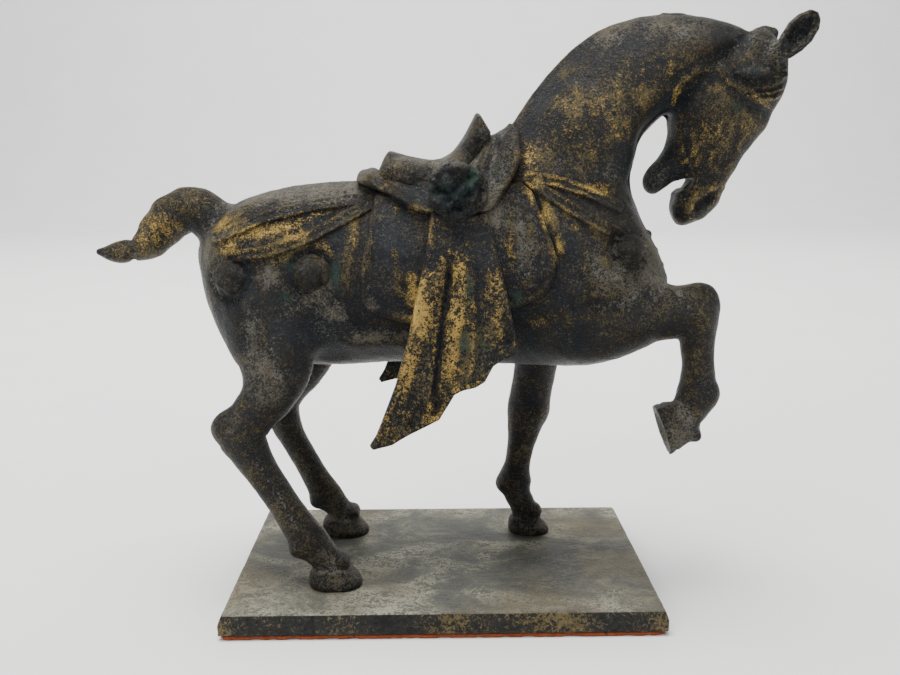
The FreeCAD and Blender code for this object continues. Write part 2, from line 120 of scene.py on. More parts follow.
def limb(rows, margin=12.0, stations=72):
    """A limb swept through rows of x, y, z, half depth and half width, square to its own spine."""
    rows = np.array(rows, float)
    run = np.r_[0, np.cumsum(np.linalg.norm(np.diff(rows[:, :3], axis=0), axis=1))]
    t = np.linspace(0, run[-1], stations)
    spine = np.stack([curve(run, rows[:, i], monotone=i > 2)(t) for i in range(5)], axis=1)
    centre, depth, width = spine[:, :3], spine[:, 3], spine[:, 4]
    tangent = np.gradient(centre, axis=0)
    tangent /= np.linalg.norm(tangent, axis=1, keepdims=True)
    side = np.array([0, 1.0, 0]) - tangent * tangent[:, 1:2]
    side /= np.linalg.norm(side, axis=1, keepdims=True)
    up = np.cross(tangent, side)
    pitch = t[1]
    grow_depth = np.gradient(depth, pitch)
    grow_width = np.gradient(width, pitch)
    radius = max(depth.max(), width.max())

    def field(p):
        out = np.empty(len(p))
        for start in range(0, len(p), 60000):
            q = p[start:start + 60000]
            away = (q * q).sum(1)[:, None] - 2 * q @ centre.T + (centre * centre).sum(1)
            i = away.argmin(axis=1)
            rel = q - centre[i]
            along = (rel * tangent[i]).sum(1)
            over = np.where((i == 0) & (along < 0), -along, 0)
            over = over + np.where((i == stations - 1) & (along > 0), along, 0)
            along = np.clip(along, -pitch, pitch)
            a = depth[i] + grow_depth[i] * along
            b = width[i] + grow_width[i] * along
            c = np.minimum(a, b)
            u = (rel * up[i]).sum(1) / a
            v = (rel * side[i]).sum(1) / b
            w = over / c
            r = np.sqrt(u * u + v * v + w * w) + 1e-6
            steep = np.sqrt((u / a) ** 2 + (v / b) ** 2 + (w / c) ** 2) / r + 1e-6
            out[start:start + 60000] = (r - 1) / steep
        return out

    low, high = centre.min(0) - radius, centre.max(0) + radius
    return lambda p: near_box(p, low, high, margin, field)


def sliced(axis, rows, power=2.0, taper=0.0, margin=12.0):
    """A mass through slices square to an axis: place, low and high edge in the XZ plane, half width."""
    rows = np.array(rows, float)
    low_edge, high_edge, half_width = (curve(rows[:, 0], rows[:, i]) for i in (1, 2, 3))
    across = 2 - axis
    first, last = rows[0, 0], rows[-1, 0]
    small = 0.4

    def shape(place, q, y):
        low, high = low_edge(place), high_edge(place)
        a = (high - low) / 2
        u = (q - (high + low) / 2) / a
        b = half_width(place) * (1 + taper * np.clip(u, -1, 1))
        v = y / b
        r = (abs(u) ** power + abs(v) ** power) ** (1 / power) + 1e-6
        return r, u, v, a, b

    def field(p):
        place, q, y = p[:, axis], p[:, across], p[:, 1]
        r, u, v, a, b = shape(place, q, y)
        ahead = shape(place + small, q, y)[0]
        steep_u = (abs(u) / r) ** (power - 1) / a
        steep_v = (abs(v) / r) ** (power - 1) / b
        across_steep = np.sqrt(steep_u ** 2 + steep_v ** 2)
        along_steep = np.clip(abs(ahead - r) / small, 0, 1.1 * across_steep)
        steep = np.sqrt(across_steep ** 2 + along_steep ** 2)
        d = (r - 1) / np.maximum(steep, 0.25 / np.maximum(a, b))
        return np.maximum(d, np.maximum(first - place, place - last))

    low, high = np.zeros(3), np.zeros(3)
    low[axis], high[axis] = first, last
    low[across], high[across] = rows[:, 1].min(), rows[:, 2].max()
    low[1], high[1] = -rows[:, 3].max(), rows[:, 3].max()
    return lambda p: near_box(p, low, high, margin, field)


def turn(p, origin, degrees):
    """Points in a frame at an origin whose X axis is tilted up by an angle in the XZ plane."""
    c, s = math.cos(math.radians(degrees)), math.sin(math.radians(degrees))
    q = p - np.array(origin)
    return np.stack([q[:, 0] * c + q[:, 2] * s, q[:, 1], q[:, 2] * c - q[:, 0] * s], axis=1)


def lump(p, origin, radii, degrees=0.0):
    """An ellipsoid, tilted in the XZ plane."""
    q = turn(p, origin, degrees) / np.array(radii)
    r = np.sqrt((q * q).sum(1)) + 1e-6
    steep = np.sqrt(((q / np.array(radii)) ** 2).sum(1)) / r + 1e-6
    return (r - 1) / steep


def lumps(p, side, origin, radii, degrees=0.0):
    """The same ellipsoid on one side of the horse, from its distance to the middle plane."""
    x, y, z = origin
    return lump(p, (x, side * y, z), radii, degrees)


def line_gap(p, points):
    """Distance in the XZ plane to a line through points, and how far along it from 0 to 1."""
    best = np.full(len(p), 1e9)
    where = np.zeros(len(p))
    points = np.array(points, float)
    lengths = np.linalg.norm(np.diff(points, axis=0), axis=1)
    starts = np.r_[0, np.cumsum(lengths)]
    for a, b, start, length in zip(points[:-1], points[1:], starts, lengths):
        rel = p[:, [0, 2]] - a
        t = np.clip(rel @ (b - a) / length ** 2, 0, 1)
        gap = np.linalg.norm(rel - t[:, None] * (b - a), axis=1)
        closer = gap < best
        best[closer] = gap[closer]
        where[closer] = ((start + t * length) / starts[-1])[closer]
    return best, where


def ridge(p, points, half, height):
    """Relief along a line: a rounded ridge, or a groove where the height is negative."""
    gap, where = line_gap(p, points)
    fade = ramp(0, 0.12, where) * ramp(0, 0.12, 1 - where)
    return height * np.exp(-((gap / half) ** 2)) * (0.25 + 0.75 * fade)


def outline_gap(p, points):
    """Signed distance in the XZ plane to a closed outline, below 0 inside."""
    q = p[:, [0, 2]]
    points = np.array(points, float)
    gap = np.full(len(q), 1e9)
    inside = np.zeros(len(q), bool)
    for a, b in zip(points, np.roll(points, -1, axis=0)):
        edge = b - a
        rel = q - a
        t = np.clip(rel @ edge / (edge @ edge), 0, 1)
        gap = np.minimum(gap, np.linalg.norm(rel - t[:, None] * edge, axis=1))
        crosses = (a[1] > q[:, 1]) != (b[1] > q[:, 1])
        if crosses.any():
            x = a[0] + (q[:, 1] - a[1]) * edge[0] / (edge[1] if edge[1] else 1e-9)
            inside ^= crosses & (q[:, 0] < x)
    return np.where(inside, -gap, gap)


def wander(p, size, seed):
    """Smooth unevenness between -1 and 1 whose waves are about a size long."""
    rng = np.random.default_rng(seed)
    total = np.zeros(len(p))
    for _ in range(7):
        direction = rng.normal(size=3)
        direction *= 2 * math.pi / size / np.linalg.norm(direction) * rng.uniform(0.7, 1.5)
        total += np.sin(p @ direction + rng.uniform(0, 2 * math.pi))
    return total / 3.5


# ---------------------------------------------------------------- the horse

TRUNK = sliced(0, [
    (-73.6, 101, 107, 2.6), (-72, 96.5, 111, 7), (-68.6, 88.6, 115, 11.4), (-63, 80.5, 119.6, 16.2),
    (-54, 73.5, 123.5, 20), (-42, 71.5, 126, 20.8), (-30, 71, 127, 20.6), (-16, 71.8, 127.2, 20.2),
    (0, 71.5, 128, 20.6), (14, 71, 134, 20.8), (26, 70.5, 138, 20.4), (40, 70, 131, 19.4),
    (50, 71, 124, 17.6), (57.5, 74, 118.5, 15.4), (63, 79, 110.5, 12.2), (67, 86, 103.5, 7.6),
    (69, 92, 98.5, 3),
], power=2.15)

NECK = sliced(2, [
    (106, 18, 58, 13), (116, 14, 57.8, 14.6), (125, 13, 57, 14.4), (133, 15, 57.8, 13.6),
    (140, 20, 60.4, 12.8), (145, 23.2, 65, 12.3), (151, 27.4, 73, 11.8), (157, 32.2, 80, 11.2),
    (163, 38.4, 87, 10.4), (167.5, 43.6, 91.5, 9.2), (171, 49.4, 89, 7.2), (173.2, 56.5, 82, 4.8),
    (174.4, 62.5, 75, 2.4), (174.7, 66, 71, 1.2),
], taper=0.12)

HEAD = sliced(2, [
    (113.9, 72.6, 76, 2.2), (115.2, 71, 79.4, 4.2), (117, 70, 81.6, 5.2), (119.5, 69.7, 84, 6),
    (122.5, 70, 85.2, 6.2), (126, 70.6, 86.5, 6), (130, 70.8, 88.9, 6.1), (134, 69.8, 91, 6.6),
    (138, 68.8, 94, 7.4), (142, 68.3, 97.2, 8.4), (147, 68.4, 99.2, 9.3), (152, 69.8, 102, 9.6),
    (157, 74, 103.2, 9.4), (162, 79.5, 103, 8.6), (166, 85.5, 101, 7.2), (169.5, 91, 97.5, 4.6),
    (171.2, 93, 95.5, 1.6),
], power=2.3, taper=-0.16)

JAW = limb([
    (77, 0, 143, 4.2, 4.6), (72.6, 0, 137, 4.2, 4.8), (69, 0, 131.8, 3.9, 4.8), (66.4, 0, 128.4, 4.1, 4.6),
    (65, 0, 126.6, 3.6, 4),
])

RIGHT_EAR_STEM = limb([(93.5, -5.2, 159.5, 2.2, 2.6), (96.4, -6.2, 162.4, 2.4, 2.4), (99.6, -7, 165.4, 2.2, 1.8)])
RIGHT_EAR_RIM = [
    (97.2, 162.6), (97.4, 165.4), (98.6, 168.4), (100.8, 171.6), (103.4, 173.8), (106.2, 174.9), (108.2, 174.3),
    (109, 172.6),
    (108.7, 170.2), (106.8, 167), (104.1, 164.4), (100.6, 162.2),
]
RIGHT_EAR_FACE = 8.6  # distance of the ear's rim from the middle plane
LEFT_EAR = limb([
    (89.5, 5.2, 160.5, 2.4, 2.6), (92.4, 6.4, 163.6, 3.2, 2.5), (95.4, 7.2, 166.4, 3.9, 2.3),
    (98.2, 7.8, 168.8, 4, 2), (100.4, 8.1, 170.4, 3.2, 1.6), (101.6, 8.2, 171.2, 1.8, 1.1),
])

TAIL = limb([
    (-60, 0, 107.5, 5.8, 5.6), (-67.5, 0, 114, 6.8, 6), (-74.6, 0, 118.6, 6.9, 6.2), (-81, 0, 116.8, 6.7, 6),
    (-86, 0, 111.6, 5.9, 5.4), (-90.2, 0, 107.9, 4.7, 4.7), (-93.6, 0, 106.2, 3.3, 3.6),
])
TAIL_TIP = limb([
    (-91, 0, 107.2, 3.6, 3.6), (-95, 0, 106.3, 3.4, 3.5), (-99, 0, 105.9, 3, 3.3), (-102, 0, 106, 2.1, 2.8),
    (-103.6, 0, 106.2, 1.2, 2.2),
])

HIND_LEG_ROWS = [
    (-50.6, 11, 92, 12.6, 8.4), (-48.9, 14.5, 80, 11.9, 7.6), (-49, 16.4, 72, 10, 7),
    (-52, 17.6, 64.6, 8, 6.4), (-56.4, 18.5, 59, 6.8, 5.6), (-59.4, 19, 53.8, 7.3, 5.3),
    (-57.2, 19.3, 48.2, 6, 4.8), (-53, 19.7, 41, 5, 4.3), (-48.4, 20, 33.8, 4.7, 4.1),
    (-44, 20.3, 26.6, 5, 4.4), (-40.2, 20.4, 20.8, 5.6, 4.9), (-36.4, 20.5, 16.4, 4.7, 4.5),
    (-33.6, 20.6, 12.8, 4.6, 4.6),
]
LEFT_HIND_SHIFTS = [2, 3, 4.6, 5.6, 5.8, 5.6, 4.2, 2.8, 2, 1.2, 0.8, 0.4, 0]
FAR_HOCK_SHIFT = 5.8
LEFT_HIND_SLIMNESS = 0.9  # the far hind leg is this much slimmer below the thigh
FORELEG_ROWS = [
    (36, 11, 90, 11.5, 7.6), (34, 13.6, 79, 9.4, 7), (31.6, 16, 69, 7.2, 6.4),
    (30.4, 17.6, 60, 6.9, 5.8), (29.2, 18.6, 52, 7, 5.7), (28, 19.2, 45, 5.9, 5.1),
    (26.8, 19.6, 38, 4.7, 4.3), (25.9, 19.8, 32, 4.4, 4.2), (25, 20, 25.4, 5.5, 4.9),
    (25.8, 20, 20.8, 4.6, 4.5), (27.6, 20, 16.6, 4.3, 4.4), (29, 20, 12.8, 4.4, 4.5),
]
RAISED_FOREARM = limb([
    (34, -8.5, 90, 15, 9), (46, -11.6, 87.5, 14, 8.6), (56, -13.6, 88.2, 11.6, 7.8),
    (64, -14.8, 89.2, 8.4, 6.6), (70.5, -15.2, 89.7, 6.9, 5.9), (75, -15.3, 89.9, 6.1, 5.6),
])
RAISED_SHANK = limb([
    (75, -15.3, 91.6, 5.4, 5.4), (75.9, -15.4, 86, 5.3, 5.3), (75.6, -15.5, 80, 5.2, 4.8),
    (76.1, -15.5, 74, 4.8, 4.4), (76.3, -15.5, 68.6, 5.4, 4.6), (76.2, -15.5, 64.2, 6.2, 5.2),
    (74.6, -15.5, 60, 5.5, 5), (73.6, -15.5, 56, 4.4, 4.7), (74, -15.5, 53.4, 3.4, 4.2),
])
HOOF_TILT = -71  # of the raised hoof's sole, from heel to toe
RAISED_SOLE = (66, -15.5, 52.9)
RAISED_HOOF = sliced(2, [
    (0, -7.6, 7.6, 6.5), (2, -7.9, 7.3, 6.4), (5, -7.4, 6.3, 5.8), (8, -5.5, 5.2, 4.8), (9.5, -3, 4.6, 3.4),
], power=2.4)


def standing_hoof(x_heel, x_toe):
    """A hoof on the plate: a low flared wedge, rounder at the toe, under a ridge at the coronet."""
    length = x_toe - x_heel
    return sliced(2, [
        (PLATE_TOP, x_heel, x_toe, 0.46 * length), (PLATE_TOP + 1.6, x_heel - 0.1, x_toe - 0.5, 0.455 * length),
        (PLATE_TOP + 3.6, x_heel + 0.1, x_toe - 2.4, 0.41 * length),
        (PLATE_TOP + 5.2, x_heel + 1, x_toe - 4, 0.36 * length),
        (PLATE_TOP + 5.9, x_heel + 2.6, x_toe - 5.8, 0.28 * length),
    ], power=2.3)


RIGHT_HIND_ROWS = [(x, -y, z, a, b) for x, y, z, a, b in HIND_LEG_ROWS]
LEFT_HIND_ROWS = [
    (x + s, y, z, a * (1 if z > 70 else LEFT_HIND_SLIMNESS), b)
    for (x, y, z, a, b), s in zip(HIND_LEG_ROWS, LEFT_HIND_SHIFTS)
]
LIMBS = {
    "right_hind_leg": (limb(RIGHT_HIND_ROWS), standing_hoof(-40.4, -24.4), -20.6),
    "left_hind_leg": (limb(LEFT_HIND_ROWS), standing_hoof(-41, -25.2), 20.6),
    "left_foreleg": (limb(FORELEG_ROWS), standing_hoof(22.9, 36.8), 20),
}


TENDON = [(-55.4, 48.6), (-51.6, 41), (-46.4, 32), (-42, 24.4)]  # groove behind the hind cannon


def shifted(p, y):
    """Points seen from a frame moved along Y."""
    return p - np.array([0, y, 0])


def standing_leg(name):
    leg, hoof, y = LIMBS[name]
    side = RIGHT if y < 0 else LEFT
    hind = "hind" in name

    def field(p):
        d = leg(p)
        if hind:
            shift = 0 if side == RIGHT else FAR_HOCK_SHIFT
            d = merge(d, lumps(p, side, (-64.4 + shift, 18.8, 56.4), (4.4, 3.6, 3.4), 40), 3)
            d = merge(d, lumps(p, side, (-43.6 + 0.15 * shift, 20.4, 18.6), (2.6, 4, 2.4), 20), 2.4)
            d = merge(d, lumps(p, side, (-30.6, 20.6, 14.6), (2.6, 4.4, 2.3), -30), 1.2)
            d += 0.4 * np.exp(-(line_gap(p, TENDON)[0] / 1) ** 2) * (abs(p[:, 1]) > 19)
        else:
            d = merge(d, lumps(p, side, (30.6, 18.8, 51), (4.6, 5.2, 4.6)), 3)
            d = merge(d, lumps(p, side, (21, 20, 24.2), (2.4, 3.8, 2.6)), 2.4)
            d = merge(d, lumps(p, side, (32, 20, 14.6), (2.2, 4.2, 2.2), -30), 1.2)
        d = merge(d, hoof(shifted(p, y)), 0.5)
        return np.maximum(d, PLATE_TOP - p[:, 2])

    return field


def raised_leg(p):
    d = merge(RAISED_FOREARM(p), RAISED_SHANK(p), 3.4)
    d = merge(d, lump(p, (76.4, -15.3, 91.6), (4.6, 5.4, 5.4)), 2.4)
    d = merge(d, lump(p, (66.6, -15, 83.6), (4.4, 4, 2.6), 12), 2.6)
    d = merge(d, lump(p, (79.4, -15.5, 64.2), (3, 4.6, 3.4)), 2)
    local = turn(p, RAISED_SOLE, HOOF_TILT)
    hoof = RAISED_HOOF(local)
    hoof = hoof + 0.42 * np.exp(-(((local[:, 2] - 2.1) / 0.42) ** 2))
    hollow = lump(local, (-0.6, 0, -0.8), (5.6, 4.4, 1.9))
    d = merge(d, hoof, 1.1)
    d = carve(d, hollow, 0.8)
    return merge(d, lump(p, (75.9, -15.5, 51.6), (2, 4.4, 1.9)), 1.4)


LEG_FIELDS = {name: standing_leg(name) for name in LIMBS}
LEG_FIELDS["right_foreleg"] = raised_leg


def trunk_mass(p):
    """Barrel, chest, shoulders and quarters."""
    d = TRUNK(p)
    for side in (RIGHT, LEFT):
        d = merge(d, lumps(p, side, (-51.6, 9.3, 98), (17.6, 11, 23), -8), 6)
        d = merge(d, lumps(p, side, (-55.8, 12, 84), (7.6, 7.6, 14.5), 10), 5)
        d = merge(d, lumps(p, side, (40, 11.4, 103), (15, 8.8, 23), -18), 7)
        d = merge(d, lumps(p, side, (55.4, 8.2, 100.4), (8.4, 8, 11), 18), 5)
    keel = lump(p, (58.8, 0, 103.6), (6, 2.6, 13.6), 26)
    d = merge(d, keel, 4)
    for z in (110.5, 105.5, 101):
        x = 62.9 + (110.5 - z) * 0.44
        d = merge(d, lump(p, (x, 0.2, z), (1.7, 1.4, 1.5), 30), 0.7)
    return d


THROAT = [(56, 128), (60, 141), (67, 150)]  # groove in front of the neck


def neck_mass(p):
    d = NECK(p)
    d = merge(d, MANE(p), 2.2)
    for side in (RIGHT, LEFT):
        d = merge(d, lumps(p, side, (43, 7.6, 139), (12, 5.6, 15), 42), 4.5)
        gap = line_gap(p, THROAT)[0]
        d += 0.9 * np.exp(-(gap / 3.2) ** 2) * (p[:, 1] * side > 5) / 2
    return d


MANE = limb([
    (18, 0, 136, 1.6, 1.5), (22.6, 0, 142.2, 1.7, 1.4), (31.9, 0, 155.2, 1.7, 1.3), (43.4, 0, 166.2, 1.7, 1.2),
    (51, 0, 170.4, 1.7, 1.2), (62.2, 0, 173.3, 1.6, 1.2), (68, 0, 173.7, 1.6, 1.2), (74.8, 0, 173.2, 1.6, 1.2),
    (79.4, 0, 171.8, 1.5, 1.2), (84, 0, 170.2, 1.5, 1.3), (89, 0, 167.8, 1.5, 1.5),
])

CHEEK_CREST = [(79.1, 159.2), (82.2, 157), (85.2, 153.6), (88.3, 151.1), (92.7, 149.7), (97.6, 148.3)]
JOWL = [(68.6, 144.4), (67.8, 148.6), (68.4, 152.2), (70.4, 155.6), (74.2, 157.8), (79, 158.8)]
# Folds of skin under and in front of the eye.
FOLDS = [
    [(86.8, 154.8), (90.5, 153.4), (95.6, 153.8), (100.6, 156.4)],
    [(87.2, 153.4), (91.3, 151.8), (96.4, 152), (100.8, 154.2)],
    [(89.6, 151.3), (92.6, 150.5), (97.3, 150.5), (100.6, 152.2)],
    [(95.4, 159.9), (98.4, 158.6), (101.6, 159.4)],
    [(96.2, 157.2), (99, 156.6), (102, 157.6)],
]


LIP = [(74.6, 127), (72.6, 121), (71.6, 116.8)]
WRINKLES = [
    [(71, 131), (73.4, 133.4), (75.6, 137)], [(75.4, 131), (76.6, 134.4)], [(79, 131.4), (80.4, 136)],
]


def head_mass(p):
    d = HEAD(p)
    d = merge(d, JAW(p), 2.6)
    d = merge(d, lump(p, (64.9, 0, 126.8), (3.2, 4.2, 3.9), -30), 1.6)
    d = merge(d, lump(p, (73.6, 0, 115.4), (2.4, 5, 1.9), 20), 1.2)
    return d


def head_detail(p, d):
    """Mouth, nostrils, eyes and cheeks, cut into or raised on the horse."""
    x, y, z = p.T
    mouth = keep(lump(p, (70.6, 0, 124.9), (5.6, 12, 1.45), 28), lump(p, (70.6, 0, 124.9), (6.4, 12, 6.4)), 0.5)
    d = carve(d, mouth, 0.8)
    d = carve(d, lump(p, (67.6, 0, 121.6), (3, 9, 2.4), 40), 1)
    for side in (RIGHT, LEFT):
        on = y * side > 2
        d = np.where(on, d + 0.55 * np.exp(-(line_gap(p, LIP)[0] / 0.7) ** 2), d)
        nostril = lumps(p, side, (80.6, 6.4, 122), (3.6, 2, 1.3), 36)
        d = carve(d, nostril, 1.1)
        relief = ridge(p, [(73.6, 117), (74.4, 120.6), (77.4, 124.4)], 1.1, 0.8)
        relief += ridge(p, [(78.6, 124.8), (83.6, 126), (86, 124)], 1, 0.45)
        relief -= ridge(p, [(76.4, 118), (76.8, 121)], 0.8, 0.6)
        relief += ridge(p, CHEEK_CREST, 1.1, 0.8)
        relief -= ridge(p, [(q + 1.2, r - 2.4) for q, r in CHEEK_CREST[1:-1]], 1.3, 0.45)
        relief += ridge(p, JOWL, 1.6, 0.8)
        relief -= ridge(p, [(q - 2.3, r + 1.4) for q, r in JOWL[2:5]], 1.3, 0.4)
        relief += 0.9 * np.exp(-(((x - 76) / 6) ** 2 + ((z - 149.5) / 6.5) ** 2))
        relief -= ridge(p, [(71.6, 144), (72.6, 138), (74, 132)], 1.1, 0.55)
        for line in WRINKLES:
            relief += ridge(p, line, 0.8, 0.5)
        relief -= ridge(p, [(88, 143), (86, 136), (83, 130)], 1.6, 0.4)
        for line in FOLDS:
            relief += ridge(p, line, 0.62, 0.85)
        d = np.where(on, d - relief, d)
        d = carve(d, lumps(p, side, (89.6, 10.2, 156.6), (6.8, 1.9, 2.7), 0), 1)
        d = merge(d, lumps(p, side, (89.6, 6.9, 157.7), (6.4, 3.4, 2.05), 1), 0.4)
    return d


def tail_mass(p):
    tip = TAIL_TIP(p)
    d = merge(TAIL(p), tip, 0.9)
    x, y, z = p.T
    twist = np.sin((x * 0.35 + z * 0.9) * 0.9 + 0.5 * y) * 0.22
    crease = 0.75 * np.exp(-(line_gap(p, [(-94.6, 111), (-92.4, 106.5), (-94.4, 101.5)])[0] / 0.9) ** 2)
    return d + crease - twist * ramp(-70, -78, x)


def right_ear(p):
    """A pricked ear turned to the side, like a paddle with a hollow face."""
    out = -p[:, 1]
    gap = outline_gap(p, RIGHT_EAR_RIM) - 0.5
    face = RIGHT_EAR_FACE - 1.9 * ramp(0.7, 2.4, -gap) - 0.10 * (p[:, 0] - 103)
    crease = 0.5 * np.exp(-(line_gap(p, [(98.4, 163.6), (103.4, 169), (106, 171.8)])[0] / 0.6) ** 2)
    back = RIGHT_EAR_FACE - 4.4 + 2.2 * ramp(2, 0, -gap)
    blade = keep(gap, np.maximum(out - face + crease, back - out), 0.8)
    return merge(blade, RIGHT_EAR_STEM(p), 1.2)


def left_ear(p):
    return carve(LEFT_EAR(p), lump(p, (97.6, 10.2, 168.4), (5.4, 2, 2.8), 42), 0.7)


RIGHT_EAR_BOX = (92, -13, 156), (110, -2, 176)
EAR_FIELDS = {
    "right_ear": lambda p: near_box(p, *RIGHT_EAR_BOX, 6, right_ear),
    "left_ear": left_ear,
}
CASTINGS = {
    "trunk": trunk_mass,
    "neck_casting": neck_mass,
    "head_casting": head_mass,
    "tail": tail_mass,
    **LEG_FIELDS,
    **EAR_FIELDS,
}
FILLETS = {"trunk": 0, "neck_casting": 6, "head_casting": 2.2, "tail": 3.2, "right_ear": 1.6, "left_ear": 1.6}

BOSSES = {
    "crupper": [(-37.5, 19.3, 101.5, 5.3), (-60.5, 17.4, 100, 5)],
    "breast": [(54.2, 16.2, 107.4, 4.4)],
}
# Relief of the harness and of the muscles on the body, as (points, half width, height).
BODY_RELIEF = [
    ([(-22, 119.6), (-32, 117.2), (-41, 113.9), (-51, 110.1), (-61, 107.9)], 1.5, -0.35),
    ([(-24.6, 121), (-26, 112), (-27.6, 101), (-27, 92)], 1.8, 0.75),
    ([(26.6, 129), (31, 118), (35.6, 106)], 1.4, 0.9),
    ([(24.2, 126), (27.6, 116), (32, 106)], 1.2, -0.5),
    ([(-30, 91), (-24, 85.6), (-16, 84.4), (-6, 85)], 1.3, -0.8),
    ([(-34, 84), (-26, 80.4), (-16, 80.2), (-8, 81)], 2.6, 0.8),
    ([(-50, 72), (-38, 76), (-27, 76)], 2.6, -0.6),
    ([(58.6, 101.2), (57.6, 97.2), (54.3, 93.2), (48, 91.5), (40, 92)], 2, -0.9),
    ([(32.4, 99), (34, 94), (40, 90)], 1.8, -0.7),
    ([(27, 92), (34, 84), (40, 79)], 3, -0.4),
    ([(40, 99), (50, 98), (56, 103)], 2.6, 0.6),
    ([(49.6, 113), (48.8, 107), (50.6, 101.6)], 1.5, -0.9),
    ([(36, 116), (40, 108), (41, 100)], 2.4, 0.5),
    ([(-52, 94), (-56, 86), (-57, 77)], 2.2, -0.5),
    ([(-40, 92), (-44, 84), (-45, 74)], 2.6, 0.5),
]


def horse(p):
    """The whole bare horse."""
    d = None
    for name, mass in CASTINGS.items():
        own = mass(p)
        d = own if d is None else merge(d, own, FILLETS.get(name, 5.5))
    x, y, z = p.T
    d = head_detail(p, d)
    flank = (abs(y) > 6) & (x > -75) & (x < 68) & (z > 68) & (z < 137)
    relief = np.zeros(len(p))
    if flank.any():
        q = p[flank]
        for points, half, height in BODY_RELIEF:
            relief[flank] += ridge(q, points, half, height)
        for spots in BOSSES.values():
            for bx, _, bz, r in spots:
                gap = np.hypot(q[:, 0] - bx, q[:, 2] - bz)
                relief[flank] -= 0.7 * np.exp(-(((gap - r - 0.7) / 1.2) ** 2))
        relief *= ramp(6, 11, abs(y))
    d = d - relief
    d += 0.10 * wander(p, 9, 3) + 0.06 * wander(p, 4, 5)
    return np.maximum(d, PLATE_TOP - z)


# ---------------------------------------------------------------- saddlery


def flank(x, z, side):
    """Y of the horse's side at a place seen from the side."""
    y = side * np.linspace(4, 27, 93)
    spots = np.stack([np.full_like(y, x), y, np.full_like(y, z)], axis=1)
    inside = np.nonzero(horse(spots) < 0)[0]
    return float(y[inside[-1]])


BLANKET = [
    (-25, 127), (-24.6, 134), (8, 150), (19.6, 145.6), (22.6, 142), (22.6, 133), (19, 125.6),
    (14, 119.4), (4, 117), (-7, 118.6), (-15, 123.2), (-22.5, 126.2),
]
FLAP = [
    (-19.4, 123.6), (-8, 124.6), (6, 126), (22.4, 127), (25.8, 124.4), (28.2, 118), (31, 111), (32.8, 105.6),
    (32.2, 100), (30.4, 96.4), (27.4, 93.6), (22, 91.4), (14, 89.8), (2, 87.6), (-9.6, 86.6), (-16, 88.4),
    (-21.4, 90.6), (-23.6, 94.4), (-23.4, 101), (-21.8, 110), (-20.4, 118),
]
CLOTH = [
    (-3, 118.3), (-4.9, 105.6), (-7.9, 92.9), (-9.8, 83.1), (-11.8, 76.3), (-13.7, 69.4), (-16.7, 61.6),
    (-19.4, 54.8),
    (-21.4, 51.6), (-20.4, 50.3), (-14.7, 51.8), (-9.8, 54.8), (-4.9, 57.2), (-1, 59.2), (1.4, 63.1), (3.4, 66.6),
    (5.8, 67.8), (9.7, 68.8), (12.2, 70.4), (14.6, 75), (16.6, 76.3), (21.5, 78.2), (21.4, 81.4), (19.5, 91),
    (18, 97.8), (16.1, 105.6), (14.1, 113.5), (12.7, 118.3),
]
LEFT_CLOTH_RISE = 8.5  # the left cloth hangs this much shorter
HANG = curve([44, 60, 80, 98, 110, 121], [25.6, 25.5, 25.2, 24.6, 23.2, 19.6])
CLOTH_FOLDS = [
    ([(2.4, 106), (2, 101.2), (0.4, 89.1), (-1.3, 75.7), (-2.4, 67), (-0.6, 60.7)], 0.9, -1.6),
    ([(-1.5, 106.5), (-4, 94), (-8.3, 76.9), (-13.4, 62), (-18.4, 50.6)], 2.6, 0.8),
    ([(6.2, 107.9), (5.2, 93.9), (3.7, 81.8), (2.5, 70.7)], 1.9, 0.9),
    ([(9.7, 105.5), (10.9, 91.5), (10.4, 81.7), (9.8, 71.9)], 1, -0.8),
    ([(13.9, 107.5), (15.7, 91.5), (17, 81.7)], 1.9, 0.7),
    ([(-5.6, 64), (-9.6, 57)], 1.4, -0.8),
    ([(-3, 60.4), (-1.6, 63.6)], 1.1, -1),
    ([(17.6, 90), (19, 81)], 1.2, -0.6),
    ([(2, 116), (6, 112), (11, 114)], 1.6, -0.8),
]
SEAT = sliced(0, [
    (-19.4, 123, 128.6, 6.6), (-18.2, 122, 131.4, 8.4), (-16.6, 121, 134.6, 9.4), (-15.2, 120, 135.9, 9.8),
    (-12.6, 120, 135.3, 10.1), (-8, 120, 134, 10.3), (-3, 120, 133.4, 10.3), (1, 121, 134.1, 10.2),
    (4, 122, 136.4, 9.9), (7, 124, 140.6, 9.2), (9.4, 126, 145, 7.8), (10.8, 128, 146.9, 6.6),
    (12, 130, 146.2, 6), (13.2, 131, 144.3, 6.4), (14.6, 132, 142, 5.4),
], power=2.5)
KNOT = (4.4, 22, 124.5)
KNOT_RELIEF = [
    ([(1, 119.6), (4.4, 123.6), (7.2, 126.6)], 1, 1.5),
    ([(7.2, 126.6), (9.4, 124.8), (9.6, 122.6), (8.2, 120.4)], 0.9, 1.4),
    ([(-2.6, 123), (-0.8, 120.8), (1.4, 120.2)], 0.9, 1.3), ([(10.6, 127), (11.4, 123.6), (10, 119.6)], 0.8, -1),
    ([(-1.6, 125.4), (1.8, 124.6), (4.6, 125.4)], 1, -1.2), ([(-1, 130), (3, 131.4), (8, 130.6)], 1, 0.9),
    ([(3.6, 119), (6.4, 121.4), (7.2, 123.6)], 0.9, -1.1),
]
KNOT_LOBES = [(1, 127.2, 2.4, 1), (7.4, 122.6, 1.6, 0.9), (-0.8, 121.6, 1.4, 0.8), (7.6, 128.6, 0.9, -1.2)]
CRUPPER_LINES = [
    [(-21, 122.8), (-36, 120.8), (-50, 117.6), (-65.5, 111.4)],
    [(-21, 120.8), (-29, 116.4), (-38, 111.6), (-48, 108.2), (-60.5, 106.2)],
]
